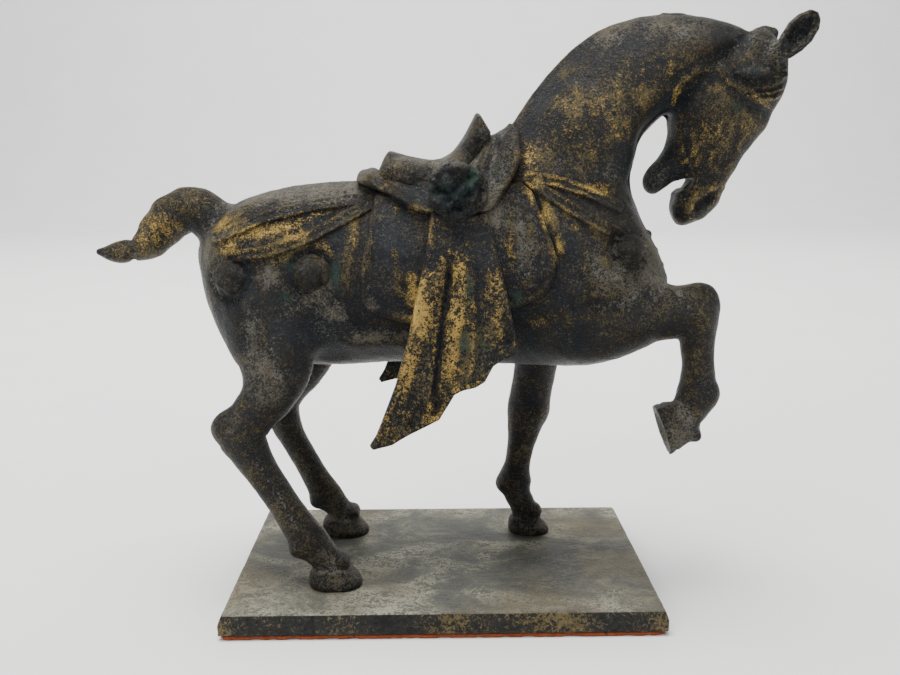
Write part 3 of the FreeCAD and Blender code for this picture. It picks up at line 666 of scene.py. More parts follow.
BREAST_LINES = [
    [(25, 128.4), (33, 127.2), (42, 124.2), (51, 119.8)],
    [(25, 127.6), (31, 123.4), (40, 117.8), (52.5, 111)],
]


def shell(p, lift, sink=0.9):
    """A layer on the horse's skin, sunk a little into it."""
    d = horse(p)
    return np.maximum(d - lift, -(d + sink))


def blanket(p):
    x, y, z = p.T
    gap = outline_gap(p, BLANKET)
    lift = 2.3 + 0.5 * np.exp(-(((gap + 1.1) / 0.9) ** 2))
    lift += 1.5 * np.exp(-(((x + 22 - 0.35 * (z - 127)) / 2.4) ** 2)) * ramp(119, 125, z)
    lift += 1.5 * np.exp(-(((x - 19.4 + 0.12 * (z - 140)) / 2.6) ** 2)) * ramp(124, 136, z)
    lift += 2.2 * np.exp(-(((x - 15.6) / 2.6) ** 2)) * ramp(8, 3, abs(y))
    lift -= (lift - 0.9) * ramp(137.5, 143.5, z) * ramp(9, 5, abs(y))
    for line, half, height in (
        ([(16.3, 141), (15.7, 135), (13.3, 129)], 0.9, -1.3),
        ([(14, 142), (12.8, 135), (10.3, 129.8)], 1, 0.9),
        ([(22, 140), (21.8, 133.8), (18.8, 127.2), (15.8, 123.2)], 1.3, 0.5),
        ([(-24.2, 128.6), (-20, 129), (-12.9, 124.4), (-6.3, 120.2)], 1.5, 0.9),
        ([(-23.5, 126.6), (-17.6, 121.9), (-10.5, 119.1)], 1, -0.7),
        ([(-18, 132), (-11, 127.6), (-5, 123.6)], 1, -0.8),
    ):
        lift += ridge(p, line, half, height)
    return keep(shell(p, lift), gap, 0.9)


def flap(side):
    def field(p):
        y, z = p[:, 1], p[:, 2]
        gap = outline_gap(p, FLAP)
        low_edge = ramp(96, 88, z)
        lift = 1.1 + (0.5 + 0.7 * low_edge) * np.exp(-(((gap + 1.3) / (1 + 0.7 * low_edge)) ** 2))
        lift += ridge(p, [(24.7, 125), (27.8, 119.7), (30.2, 113.8), (32.4, 107.2)], 1.1, 0.7)
        lift += ridge(p, [(21.4, 118), (22.6, 108), (24, 100)], 1.6, -0.45)
        lift += ridge(p, [(22, 98), (26, 100), (30, 103)], 1.6, 0.5)
        lift += ridge(p, [(-16, 117), (-17.4, 104), (-15, 93)], 2.2, -0.4)
        lift += 0.12 * wander(p, 6, 53)
        d = keep(shell(p, lift), gap, 0.7)
        return np.maximum(d, 4 - side * y)

    return field


def cloth(side):
    rise = LEFT_CLOTH_RISE if side == LEFT else 0

    def field(p):
        x, y, z = p.T
        drop = ramp(100, 66, z)
        q = p - np.stack([0 * x, 0 * x, rise * drop], axis=1)
        relief = sum(ridge(q, line, half, height) for line, half, height in CLOTH_FOLDS)
        gap = outline_gap(q, CLOTH)
        relief += 0.35 * np.exp(-(((gap + 0.9) / 0.8) ** 2)) + 0.16 * wander(p, 7, 11) + 0.10 * wander(p, 3.2, 13)
        front = side * y - HANG(z) - relief
        thick = 1.9 + 0.5 * ramp(100, 118, z)
        d = keep(front, -(front + thick), 0.8)
        return keep(d, gap, 0.8)

    return field


def knot(side):
    kx, ky, kz = KNOT

    def field(p):
        x, y, z = p.T
        out = side * y
        across = np.hypot(x - kx, z - kz)
        dome = ky + 0.9 * np.cos(np.clip(across / 9, 0, 1) * math.pi / 2)
        wobble = 0.3 * np.sin(3 * np.arctan2(z - kz, x - kx) + 0.6)
        for line, half, height in KNOT_RELIEF:
            dome = dome + ridge(p, line, half, height)
        for lx, lz, radius, height in KNOT_LOBES:
            dome = dome + height * np.exp(-(((x - lx) ** 2 + (z - lz) ** 2) / radius ** 2))
        dome = dome + 0.6 * wander(p, 4.6, 59) + 0.35 * wander(p, 2.3, 61)
        d = keep(across - 8.4 - wobble, out - dome, 1.8)
        d = keep(d, 14.2 - out, 0.6)
        d += 0.5 * np.exp(-(((out - 18.4) / 0.8) ** 2)) * ramp(6.5, 8.5, across)
        return d + 0.12 * wander(p, 5, 17)

    return field


def straps(side, lines):
    def field(p):
        gap = np.minimum(*(line_gap(p, line)[0] for line in lines))
        lift = 0.34 + 0.3 * np.exp(-(((gap - 1.15) / 0.5) ** 2)) + 0.12 * wander(p, 5, 29)
        d = keep(shell(p, lift), gap - 1.8, 0.5)
        return np.maximum(d, 2 - side * p[:, 1])

    return field


def bosses(spots):
    seats = [(x, side * (abs(flank(x, z, side)) - 0.8), z, r) for x, _, z, r in spots for side in (RIGHT, LEFT)]

    def field(p):
        d = np.full(len(p), 1e3)
        for x, y, z, r in seats:
            knob = lump(p, (x, y, z), (r, 0.84 * r, r))
            knob = knob - 0.34 * wander(p, 3.6, 23) - 0.12 * wander(p, 1.6, 47)
            d = np.minimum(d, knob)
        return d

    return field


# ---------------------------------------------------------------- base

EDGE_STRAIGHT = 3.4  # height of the plate's upright edge; above it the edge slopes inwards
EDGE_SLOPE = math.tan(math.radians(21))
FELT_SPREAD = 0.8  # how far the pressed felt swells out past its cut edge
SCREW_SPOTS = [(-34, -20.5), (-33.6, 20.5), (28.4, 20)]
SCREW_HOLES = [(3.2, FELT_TOP + 2.5), (1.7, PLATE_TOP + 1)]  # radius and top of each step


def screw_holes(p, steps):
    d = np.full(len(p), 1e3)
    for x, y in SCREW_SPOTS:
        across = np.hypot(p[:, 0] - x, p[:, 1] - y)
        for radius, top in steps:
            d = np.minimum(d, np.maximum(across - radius, p[:, 2] - top))
    return d


def plate(p):
    x, y, z = p.T
    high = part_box("base_plate")[1]
    inset = np.maximum(z - FELT_TOP - EDGE_STRAIGHT, 0) * EDGE_SLOPE + 0.05
    wave = 0.10 * wander(p, 16, 31) + 0.05 * wander(p, 5, 37)
    ends = abs(x) - (high.x / MM - inset) + 0.12 + abs(wave)
    sides = abs(y) - (high.y / MM - inset) + 0.12 + abs(wave)
    d = keep(ends, sides, 0.35)
    d = keep(d, z - PLATE_TOP + 0.06 + 0.5 * abs(wave) * ramp(55, 63, abs(x)), 0.45)
    d = np.maximum(d, FELT_TOP - z)
    return np.maximum(d, -screw_holes(p, SCREW_HOLES))


def felt(p):
    x, y, z = p.T
    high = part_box("base_felt")[1]
    fray = 0.45 * abs(wander(p, 7, 41)) + 0.2 * abs(wander(p, 2.2, 43)) - FELT_SPREAD
    d = keep(abs(x) - high.x / MM + fray, abs(y) - high.y / MM + fray, 1.6)
    return np.maximum(d, np.maximum(z - FELT_TOP, 0.02 - z))


# ---------------------------------------------------------------- meshes from fields

BLOCK = 8


def surface(field, low, high, voxel):
    """The surface of a field inside a box, as vertices in millimetres and quads wound outwards."""
    first = np.floor(np.array(low) / voxel).astype(int) - 2
    last = np.ceil(np.array(high) / voxel).astype(int) + 2
    blocks = (last - first) // BLOCK + 1
    grid = np.full(blocks * BLOCK, 4.0 * voxel, np.float32)
    index = np.stack(np.meshgrid(*[np.arange(n) for n in blocks], indexing="ij"), -1).reshape(-1, 3)
    middle = (first + index * BLOCK + (BLOCK - 1) / 2) * voxel
    rough = field(middle)
    reach = BLOCK * voxel * 1.4 + 1.2
    cells = grid.reshape(blocks[0], BLOCK, blocks[1], BLOCK, blocks[2], BLOCK).transpose(0, 2, 4, 1, 3, 5)
    deep = index[rough < -reach]
    cells[deep[:, 0], deep[:, 1], deep[:, 2]] = -4.0 * voxel
    near = index[abs(rough) <= reach]
    inner = np.stack(np.meshgrid(*[np.arange(BLOCK)] * 3, indexing="ij"), -1).reshape(-1, 3)
    batch = 400
    for start in range(0, len(near), batch):
        some = near[start:start + batch]
        spots = ((first + some * BLOCK)[:, None] + inner[None]).reshape(-1, 3) * voxel
        values = np.clip(field(spots), -4 * voxel, 4 * voxel)
        cells[some[:, 0], some[:, 1], some[:, 2]] = values.reshape(-1, BLOCK, BLOCK, BLOCK)
    volume = openvdb.FloatGrid(4.0 * voxel)
    volume.copyFromArray(grid)
    spots, quads = volume.convertToQuads()
    verts = (spots.astype(float) + first) * voxel
    quads = quads.astype(int)
    a, b, c = verts[quads[:, 0]], verts[quads[:, 1]], verts[quads[:, 2]]
    if (a * np.cross(b, c)).sum() < 0:
        quads = quads[:, ::-1]
    return largest(verts, quads)


def groups(count, pairs):
    """A label for each of count things, the same for things that pairs join."""
    label = np.arange(count)
    while True:
        low = np.minimum(label[pairs[:, 0]], label[pairs[:, 1]])
        new = label.copy()
        np.minimum.at(new, pairs[:, 0], low)
        np.minimum.at(new, pairs[:, 1], low)
        new = new[new]
        new = new[new]
        if (new == label).all():
            return label
        label = new


def edges_of(quads):
    pairs = np.concatenate([quads[:, [i, (i + 1) % 4]] for i in range(4)])
    return np.unique(np.sort(pairs, axis=1), axis=0)


def largest(verts, quads, share=0.05):
    """The mesh without crumbs: parts with under a share of the largest part's vertices."""
    label = groups(len(verts), edges_of(quads))
    size = np.bincount(label, minlength=len(verts))
    stay = size[label] >= share * size.max()
    quads = quads[stay[quads[:, 0]]]
    used = np.unique(quads)
    renumber = np.zeros(len(verts), int)
    renumber[used] = np.arange(len(used))
    return verts[used], renumber[quads]


def normals_of(verts, quads):
    across = np.cross(verts[quads[:, 2]] - verts[quads[:, 0]], verts[quads[:, 3]] - verts[quads[:, 1]])
    total = np.zeros_like(verts)
    for i in range(3):
        for corner in range(4):
            total[:, i] += np.bincount(quads[:, corner], weights=across[:, i], minlength=len(verts))
    return total / np.maximum(np.linalg.norm(total, axis=1, keepdims=True), 1e-12)


def smoothed(values, edges, rounds):
    """Values on vertices, averaged with their neighbours again and again."""
    count = len(values)
    degree = np.bincount(edges.ravel(), minlength=count)[:, None]
    out = np.array(values, float).reshape(count, -1)
    for _ in range(rounds):
        total = np.empty_like(out)
        for i in range(out.shape[1]):
            total[:, i] = np.bincount(edges[:, 0], weights=out[edges[:, 1], i], minlength=count)
            total[:, i] += np.bincount(edges[:, 1], weights=out[edges[:, 0], i], minlength=count)
        out = 0.4 * out + 0.6 * total / degree
    return out


# ---------------------------------------------------------------- where the finish changes

# Patches of finish as x, distance from the middle plane, z, their three radii and strength. They fade outwards.
# They follow the near side of the real one; the far side has the same patches.
GILT = [
    (2, 26, 84, 16, 6, 26, 0.42), (-6, 26, 92, 3, 5, 12, 0.6), (-11, 26, 72, 4, 5, 9, 0.7),
    (-16, 26, 57, 5, 5, 5, 0.6), (-2, 26, 60, 5, 5, 4, 0.7), (4, 26, 105, 4, 5, 5, 0.7),
    (5, 26, 88, 4, 5, 9, 0.35), (4, 26, 73, 5, 5, 6, 0.45), (15, 26, 88, 4, 5, 10, 0.25),
    (14.5, 26, 100, 3, 5, 4, 0.4), (-3, 24, 115, 2.4, 4, 4, 0.6), (36, 12, 146, 9, 14, 10, 0.3),
    (52, 11, 150, 12, 12, 9, 0.42), (66, 10, 160, 12, 12, 7, 0.4), (28, 13, 134, 7, 10, 7, 0.5),
    (42, 13, 130, 9, 10, 6, 0.4), (50, 11, 140, 7, 10, 5, 0.3), (92, 9, 151, 6, 6, 2.6, 0.6),
    (82, 8, 154, 4, 6, 5, 0.5), (91, 8, 143, 6, 8, 6, 0.5), (83, 7, 137, 7, 8, 8, 0.6),
    (73, 6, 134, 3, 8, 4, 0.9), (82, 6, 124, 5, 7, 5, 0.55), (75, 6, 119, 2.4, 7, 5, 0.6),
    (68, 9, 150, 2.4, 6, 6, 0.8), (99, 8, 149, 4, 6, 5, 0.5), (78, 8, 141, 6, 8, 4, 0.4),
    (93, 8, 160, 6, 6, 3, 0.25), (-46, 18, 112, 20, 12, 6, 0.5), (-62, 16, 110, 6, 12, 6, 0.4),
    (48, 12, 150, 24, 14, 18, 0.22), (40, 14, 128, 14, 12, 8, 0.25), (-86, 4, 112, 10, 8, 8, 0.35),
    (2, 26, 84, 18, 6, 30, 0.25), (20, 20, 112, 5, 8, 9, 0.5), (-80, 6, 114, 12, 8, 8, 0.3),
    (25.4, 16, 124.4, 1.6, 10, 4, 1.1), (29.1, 18, 117.3, 1.7, 10, 4, 1.25), (33, 19, 108, 1.9, 10, 4, 1.25),
    (31.4, 15, 126.7, 4, 10, 2, 0.9), (44.5, 15, 124.6, 6, 10, 2.2, 0.9), (35.1, 17, 118.5, 5, 10, 4, 0.75),
    (43, 16, 114, 5, 10, 2.4, 0.8), (25.3, 15, 136, 2, 10, 5, 0.8), (20, 20, 108, 4, 10, 5, 0.35),
    (28.3, 20, 88, 4, 10, 4, 0.8), (46, 17, 106, 6, 10, 5, 0.35), (-18, 16, 127, 5, 10, 2.4, 0.6),
    (-10, 20, 119.4, 5, 8, 1.4, 0.9), (-42.6, 19, 113, 5, 10, 3, 0.95), (-37, 19, 117.7, 8, 10, 2.4, 0.7),
    (-53, 17, 114, 6, 10, 3, 0.75), (-49, 19, 105.7, 6, 10, 3, 0.55), (-64.3, 10, 116, 4, 12, 3.4, 0.95),
    (-60, 17, 108, 4, 10, 3, 0.5), (-8.8, 23, 95.5, 2.2, 8, 7, 1.3), (-15.6, 22, 106, 4, 8, 5, 0.5),
    (-24, 20, 110, 1.8, 8, 9, 0.7), (-32, 20, 107, 4, 8, 3, 0.5), (-86, 4, 114, 7, 8, 6, 0.35),
    (-97, 3, 107, 6, 8, 4, 0.35), (-60, 20, 59, 4, 10, 4, 0.3), (40, 20, 86, 7, 8, 3, 0.35),
    (76, 16, 88, 4, 8, 5, 0.25),
]
DUST = [
    (-52, 8, 124, 20, 18, 5, 1), (-28, 8, 126, 12, 16, 4, 0.8), (60, 6, 104, 8, 12, 12, 1),
    (54, 12, 97, 8, 10, 6, 0.8), (64, 12, 99, 10, 10, 5, 0.9), (50, 4, 172, 40, 12, 7, 0.7),
    (-2, 6, 133, 16, 12, 5, 1), (14, 20, 121, 3, 8, 7, 1), (20, 12, 139, 4, 12, 5, 0.7),
    (-49, 19, 101.9, 5, 8, 4.5, 1), (-38, 20, 94.2, 6, 8, 3, 0.95), (-31, 20, 90, 6, 8, 3.4, 1.2),
    (-23, 20, 82, 9, 8, 3, 1), (-55, 19, 84.9, 3, 8, 7, 0.9), (-52.4, 19, 75.5, 5, 8, 4.5, 1.2),
    (-48, 19, 68, 4, 8, 5, 0.9), (-68, 12, 106, 4, 10, 7, 1), (-20.3, 21, 93, 3, 8, 4, 1.1),
    (-8, 20, 82, 10, 8, 3, 0.7), (-60, 17, 111, 8, 10, 5, 0.7), (24, 20, 104, 4, 8, 7, 0.6),
    (-54, 19, 66, 4, 10, 5, 0.9), (-61, 20, 58, 4, 10, 5, 0.9), (-55, 20, 47, 3, 10, 6, 0.6),
    (-49, 21, 34, 3, 10, 7, 0.6), (-36, 20, 18, 4, 9, 4, 1), (-32, 20, 10, 10, 9, 4, 1.1),
    (-44, 20, 27, 4, 9, 6, 0.6), (26, 20, 22, 5, 9, 7, 0.9), (30, 20, 10, 9, 9, 4, 1.1),
    (27, 20, 38, 4, 9, 9, 0.6), (30, 20, 48, 4, 9, 8, 0.45), (70, 16, 53, 7, 8, 9, 1.1),
    (62, 14, 88, 8, 8, 4, 0.9), (76, 16, 70, 3, 8, 10, 0.5), (74, 16, 92, 7, 8, 4, 0.6),
    (104, 9, 168, 9, 8, 8, 0.6), (66, 4, 127, 6, 6, 6, 0.4), (-94, 4, 108, 10, 8, 6, 0.7),
    (20, 20, 113, 5, 8, 10, 0.9), (-84, 6, 114, 10, 8, 8, 0.5), (44, 18, 104, 9, 8, 7, 0.8),
    (36, 19, 84, 9, 8, 4, 0.5), (50, 12, 136, 14, 10, 10, 0.35), (58, 12, 156, 16, 10, 8, 0.4),
    (-33.6, 20, 101, 6, 8, 8, 0.4),
]
GREEN = [
    (-30.5, 20, 101.8, 1.7, 6, 5, 1.2), (-44.8, 20, 95, 3, 6, 2.6, 0.9), (-43, 20, 103.4, 2, 6, 3, 0.9),
    (-6.8, 18, 124.5, 4, 8, 2, 0.9), (8.7, 23, 128.6, 2, 8, 3.4, 1), (21.5, 20, 94.3, 2.4, 8, 4, 0.8),
    (6.2, 26, 81.8, 2, 5, 5, 0.9), (7.9, 26, 97.5, 1.8, 5, 5, 0.9), (12, 26, 80, 2.4, 5, 8, 0.7),
    (-4, 26, 72, 1.6, 5, 5, 0.6), (86, 8, 148, 2.4, 6, 2, 0.9), (76.5, 15, 90, 2, 8, 4, 0.9),
    (79.6, 15, 74, 1.8, 8, 5, 0.8), (-66, 12, 104, 4, 8, 6, 0.5), (2, 24, 124, 7, 5, 6, 0.8),
    (32, 12, 122, 4, 8, 3, 0.35), (-20, 14, 126, 3, 8, 2, 0.6), (15, 16, 131, 2, 8, 4, 0.6),
]
BLUE = [
    (58, 10, 132, 9, 12, 8, 0.9), (64, 8, 146, 5, 12, 8, 0.9), (-15, 22, 112, 6, 8, 7, 1.1),
    (-38, 18, 84, 12, 12, 6, 0.9), (20, 10, 74, 30, 20, 5, 0.6), (-56, 20, 96, 5, 8, 6, 0.8),
    (64, 5, 127, 6, 8, 8, 0.7), (105, 10, 168, 7, 6, 7, 0.9), (5, 26, 114, 6, 6, 5, 1.2),
    (9, 26, 106, 5, 6, 4, 0.5), (89.5, 9, 158, 6, 5, 2, 1.2), (94.6, 8, 145, 3, 6, 3, 0.9),
    (14, 22, 106, 5, 8, 10, 0.5), (70, 16, 52, 5, 8, 5, 0.6), (28, 20, 64, 8, 10, 9, 0.7),
    (2, 24, 124, 8, 5, 7, 0.3), (-45, 20, 60, 5, 10, 12, 0.5), (34, 18, 96, 5, 10, 4, 0.7),
]


PATCH_REACH = 3  # in radii
PATCH_LIMIT = 1.3


def patches(verts, table):
    """How strongly the patches of a table cover each vertex."""
    total = np.zeros(len(verts))
    q = verts * np.array([1, 0, 1])
    q[:, 1] = abs(verts[:, 1])
    for row in np.array(table, float):
        away = (((q - row[:3]) / row[3:6]) ** 2).sum(1)
        near = away < PATCH_REACH ** 2
        total[near] += row[6] * np.exp(-away[near])
    return np.clip(total, 0, PATCH_LIMIT)


def marks(verts, quads, voxel, nearby):
    """What the finish needs to know at each vertex."""
    edges = edges_of(quads)
    normals = normals_of(verts, quads)
    fine_rounds = max(2, round((0.9 / voxel) ** 2))
    broad_rounds = max(6, round((2.6 / voxel) ** 2))
    fine = smoothed(verts, edges, fine_rounds)
    broad = smoothed(fine, edges, broad_rounds)
    fine_crest = ((verts - fine) * normals).sum(1)
    broad_crest = ((fine - broad) * normals).sum(1)
    crest = smoothed(fine_crest * 9 + broad_crest * 4, edges, 2)[:, 0]
    hollow = np.zeros(len(verts))
    for reach in (1.6, 4.5):
        gap = nearby(verts + normals * reach)
        hollow += 0.5 * np.clip(1 - gap / reach, 0, 1)
    return {
        "crest": np.clip(0.5 + crest, 0, 1),
        "hollow": hollow,
        "gilt": patches(verts, GILT),
        "dust": patches(verts, DUST),
        "green": patches(verts, GREEN),
        "blue": patches(verts, BLUE),
    }, normals


def build(name, slot, verts, faces, facts, normals=None):
    """A piece of the statuette as a Blender object in metres, with what its finish needs on its vertices."""
    mesh = bpy.data.meshes.new(name)
    mesh.from_pydata((verts * MM).tolist(), [], [list(face) for face in faces])
    for key, values in facts.items():
        layer = mesh.attributes.new(key, "FLOAT", "POINT")
        layer.data.foreach_set("value", values.astype(np.float32))
    mesh.shade_smooth()
    if normals is not None:
        mesh.normals_split_custom_set_from_vertices(normals.tolist())
    obj = bpy.data.objects.new(name, mesh)
    bpy.context.scene.collection.objects.link(obj)
    mesh.materials.append(finishes[slot])
    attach(obj, "root")
    return obj


def part(quads, stay, verts, facts, normals):
    """Some quads of a mesh as a closed mesh of their own, each opening closed by a fan."""
    own = quads[stay]
    directed = np.concatenate([own[:, [i, (i + 1) % 4]] for i in range(4)])
    count = len(verts)
    forward = directed[:, 0] * count + directed[:, 1]
    backward = directed[:, 1] * count + directed[:, 0]
    border = directed[~np.isin(forward, backward)]
    faces = own.tolist()
    extra, extra_from = [], []
    if len(border):
        label = groups(count, border)[border[:, 0]]
        for ring in np.unique(label):
            rim = border[label == ring]
            extra.append(verts[np.unique(rim)].mean(axis=0))
            extra_from.append(rim[0, 0])
            hub = count + len(extra) - 1
            faces += [(b, a, hub) for a, b in rim.tolist()]
    if extra:
        verts = np.vstack([verts, extra])
        normals = np.vstack([normals, normals[extra_from]])
        facts = {key: np.r_[values, values[extra_from]] for key, values in facts.items()}
    used = np.unique(np.concatenate([np.ravel(face) for face in faces]))
    renumber = np.zeros(len(verts), int)
    renumber[used] = np.arange(len(used))
    faces = [renumber[list(face)].tolist() for face in faces]
    return verts[used], faces, {key: values[used] for key, values in facts.items()}, normals[used]


# ---------------------------------------------------------------- finishes


class Nodes:
    """Builds the nodes of one material."""

    def __init__(self, name):
        self.material = bpy.data.materials.new(name)
        self.material.use_nodes = True
        self.tree = self.material.node_tree
        self.tree.nodes.clear()
        self.place = self.add("ShaderNodeTexCoord").outputs["Object"]

    def add(self, kind, inputs=None, **settings):
        node = self.tree.nodes.new(kind)
        for key, value in settings.items():
            setattr(node, key, value)
        for key, value in (inputs or {}).items():
            self.feed(node.inputs[key], value)
        return node

    def feed(self, socket, value):
        if isinstance(value, bpy.types.NodeSocket):
            self.tree.links.new(value, socket)
        else:
            socket.default_value = value

    def math(self, operation, *values, clamp=False):
        node = self.add("ShaderNodeMath", operation=operation, use_clamp=clamp)
        for socket, value in zip(node.inputs, values):
            self.feed(socket, value)
        return node.outputs[0]

    def noise(self, per_mm, detail=2.0, rough=0.5, warp=0.0, stretch=(1, 1, 1), shift=0.0):
        """Noise around 0 whose finest cells are about 1/per_mm millimetres, over about -0.25 to 0.25."""
        mapped = self.add("ShaderNodeMapping", {"Vector": self.place, "Scale": stretch, "Location": (shift,) * 3})
        node = self.add("ShaderNodeTexNoise", {
            "Vector": mapped.outputs[0], "Scale": per_mm / MM, "Detail": detail,
            "Roughness": rough, "Distortion": warp,
        })
        return self.math("SUBTRACT", node.outputs["Fac"], 0.5)

    def parts(self, vector):
        return self.add("ShaderNodeSeparateXYZ", {"Vector": vector}).outputs

    def upward(self):
        """How far the surface faces up: 1 on top, -1 underneath."""
        return self.parts(self.add("ShaderNodeNewGeometry").outputs["Normal"])[2]

    def mark(self, name):
        return self.add("ShaderNodeAttribute", attribute_name=name).outputs["Fac"]

    def total(self, *terms):
        """The sum of (socket, weight) pairs and plain numbers."""
        result = None
        for term in terms:
            if isinstance(term, tuple):
                term = self.math("MULTIPLY", *term)
            result = term if result is None else self.math("ADD", result, term)
        return result

    def edge(self, value, soft):
        """0 where a value is below 0 and 1 above it, over a soft edge."""
        return self.math("ADD", self.math("DIVIDE", value, 2 * soft), 0.5, clamp=True)

    def mix(self, factor, first, second):
        node = self.add("ShaderNodeMix", data_type="RGBA")
        self.feed(node.inputs[0], factor)
        self.feed(node.inputs[6], first)
        self.feed(node.inputs[7], second)
        return node.outputs[2]

    def blend(self, factor, first, second):
        node = self.add("ShaderNodeMix", data_type="FLOAT")
        self.feed(node.inputs[0], factor)
        self.feed(node.inputs[2], first)
        self.feed(node.inputs[3], second)
        return node.outputs[0]

    def close(self, colour, metal, rough, height, distance, specular=0.5):
        bump = self.add("ShaderNodeBump", {"Height": height, "Strength": 1.0, "Distance": distance * MM})
        shader = self.add("ShaderNodeBsdfPrincipled", {
            "Base Color": colour, "Metallic": metal, "Roughness": rough, "Normal": bump.outputs[0],
            "Specular IOR Level": specular,
        })
        self.add("ShaderNodeOutputMaterial", {"Surface": shader.outputs[0]})
        return self.material


BLACK_BLUE = (0.0065, 0.0085, 0.0125, 1)
BLACK_BROWN = (0.016, 0.012, 0.008, 1)
DEEP_BLUE = (0.011, 0.016, 0.024, 1)
OLIVE_GOLD = (0.058, 0.049, 0.028, 1)
TAN_GOLD = (0.125, 0.098, 0.046, 1)
BRIGHT_GOLD = (0.46, 0.31, 0.09, 1)
DUST_COLOUR = (0.165, 0.156, 0.130, 1)
DUST_BROWN = (0.070, 0.060, 0.044, 1)
VERDIGRIS = (0.026, 0.062, 0.047, 1)
GREY_SPECK = (0.062, 0.061, 0.054, 1)


PLATE_SHADE, PLATE_GREY = (0.085, 0.083, 0.064, 1), (0.31, 0.295, 0.225, 1)
PLATE_SMEAR, PLATE_TAN = (0.024, 0.027, 0.030, 1), (0.150, 0.115, 0.055, 1)
EDGE_BLACK, EDGE_BROWN, EDGE_GOLD = (0.009, 0.010, 0.011, 1), (0.036, 0.033, 0.026, 1), (0.170, 0.125, 0.050, 1)
WORN_EDGE = (0.17, 0.14, 0.08, 1)
FELT_SHADE, FELT_RED, FELT_STAIN = (0.30, 0.062, 0.024, 1), (0.50, 0.135, 0.055, 1), (0.12, 0.045, 0.03, 1)
STEEL, STEEL_STAIN = (0.46, 0.46, 0.47, 1), (0.20, 0.155, 0.11, 1)


def patina(name, gold=0.0, dust=0.0, dark=0.0, ridges=0.42, flakes=0.8):
    """Cast bronze with a blue-black patina, worn gilding in grains, dust and spots of verdigris."""
    n = Nodes(name)
    crest, hollow = n.mark("crest"), n.mark("hollow")
    gilt, dusty, green, blue = (n.mark(key) for key in ("gilt", "dust", "green", "blue"))
    grain = n.noise(1.75, 2.5, 0.6, 1.0)
    flake = n.noise(0.72, 4.0, 0.68, 0.7, shift=3.1)
    cloud = n.noise(0.105, 3.0, 0.6, shift=7.7)
    worm = n.noise(1.05, 1.5, 0.5, 1.6, shift=5.2)
    fleck = n.noise(2.6, 1.0, 0.5, shift=9.4)
    rise = n.math("SUBTRACT", crest, 0.5)
    vein = n.noise(0.62, 2.0, 0.6, 1.2, shift=12.3)
    crack = n.math("SUBTRACT", 1.0, n.edge(n.math("SUBTRACT", n.math("ABSOLUTE", vein), 0.020), 0.014))
    up = n.upward()

    warmth = n.edge(n.total((cloud, 1.0), (flake, 0.7), (rise, 0.15), -dark), 0.16)
    ground = n.mix(warmth, BLACK_BLUE, BLACK_BROWN)
    ground = n.mix(n.math("MULTIPLY", blue, 0.8, clamp=True), ground, DEEP_BLUE)
    speck = n.edge(n.total((grain, 1.2), (worm, 0.9), (up, 0.07), (cloud, 0.3), -0.12), 0.10)
    ground = n.mix(n.math("MULTIPLY", speck, 0.75), ground, GREY_SPECK)

    film = n.edge(n.total(
        (dusty, 0.50), (up, 0.08), (cloud, 0.8), (flake, 1.0), (grain, 1.3), (worm, 0.5), (crack, -0.13),
        (hollow, 0.42),
        dust - 0.33,
    ), 0.11)
    film = n.math("MULTIPLY", film, 0.9)
    film_colour = n.mix(n.edge(n.total((worm, 1.0), (cloud, 0.6)), 0.12), DUST_BROWN, DUST_COLOUR)
    colour = n.mix(film, ground, film_colour)

    spread = n.total(
        (grain, 1.35), (flake, flakes), (worm, 0.6), (cloud, 0.6), (gilt, 0.42), (rise, ridges), (hollow, -0.34),
        (blue, -0.18), (crack, -0.20), gold - 0.295,
    )
    gilding = n.edge(spread, 0.05)
    shine = n.total((gilt, 0.55), (rise, 0.4), (flake, 1.5), (fleck, 1.2), (grain, 0.9), gold - 0.74)
    shine = n.edge(shine, 0.16)
    tone = n.mix(n.edge(n.total((cloud, 1.0), (fleck, 0.9), (worm, 0.5)), 0.14), OLIVE_GOLD, TAN_GOLD)
    gold_colour = n.mix(shine, tone, BRIGHT_GOLD)
    colour = n.mix(gilding, colour, gold_colour)

    spots = n.edge(n.total((green, 0.40), (flake, 1.1), (grain, 0.6), (cloud, 0.35), -0.30), 0.09)
    spots = n.math("MULTIPLY", spots, 0.8)
    colour = n.mix(spots, colour, VERDIGRIS)

    bare = n.math("MULTIPLY", gilding, n.math("SUBTRACT", 1.0, spots))
    metal = n.blend(bare, 0.05, n.blend(shine, 0.35, 0.9))
    rough = n.blend(film, 0.38, 0.72)
    rough = n.blend(bare, rough, n.blend(shine, 0.46, 0.36))
    rough = n.blend(spots, rough, 0.8)
    rough = n.total(rough, (fleck, 0.25))
    height = n.total(
        (gilding, 0.22), (grain, 1.1), (flake, 0.9), (film, 0.15), (fleck, 0.3), (crack, -0.25), (worm, 0.9),
    )
    return n.close(colour, metal, rough, height, 0.62, specular=0.24)


HALF_LENGTH, HALF_DEPTH = 63, 42  # of the plate, in mm


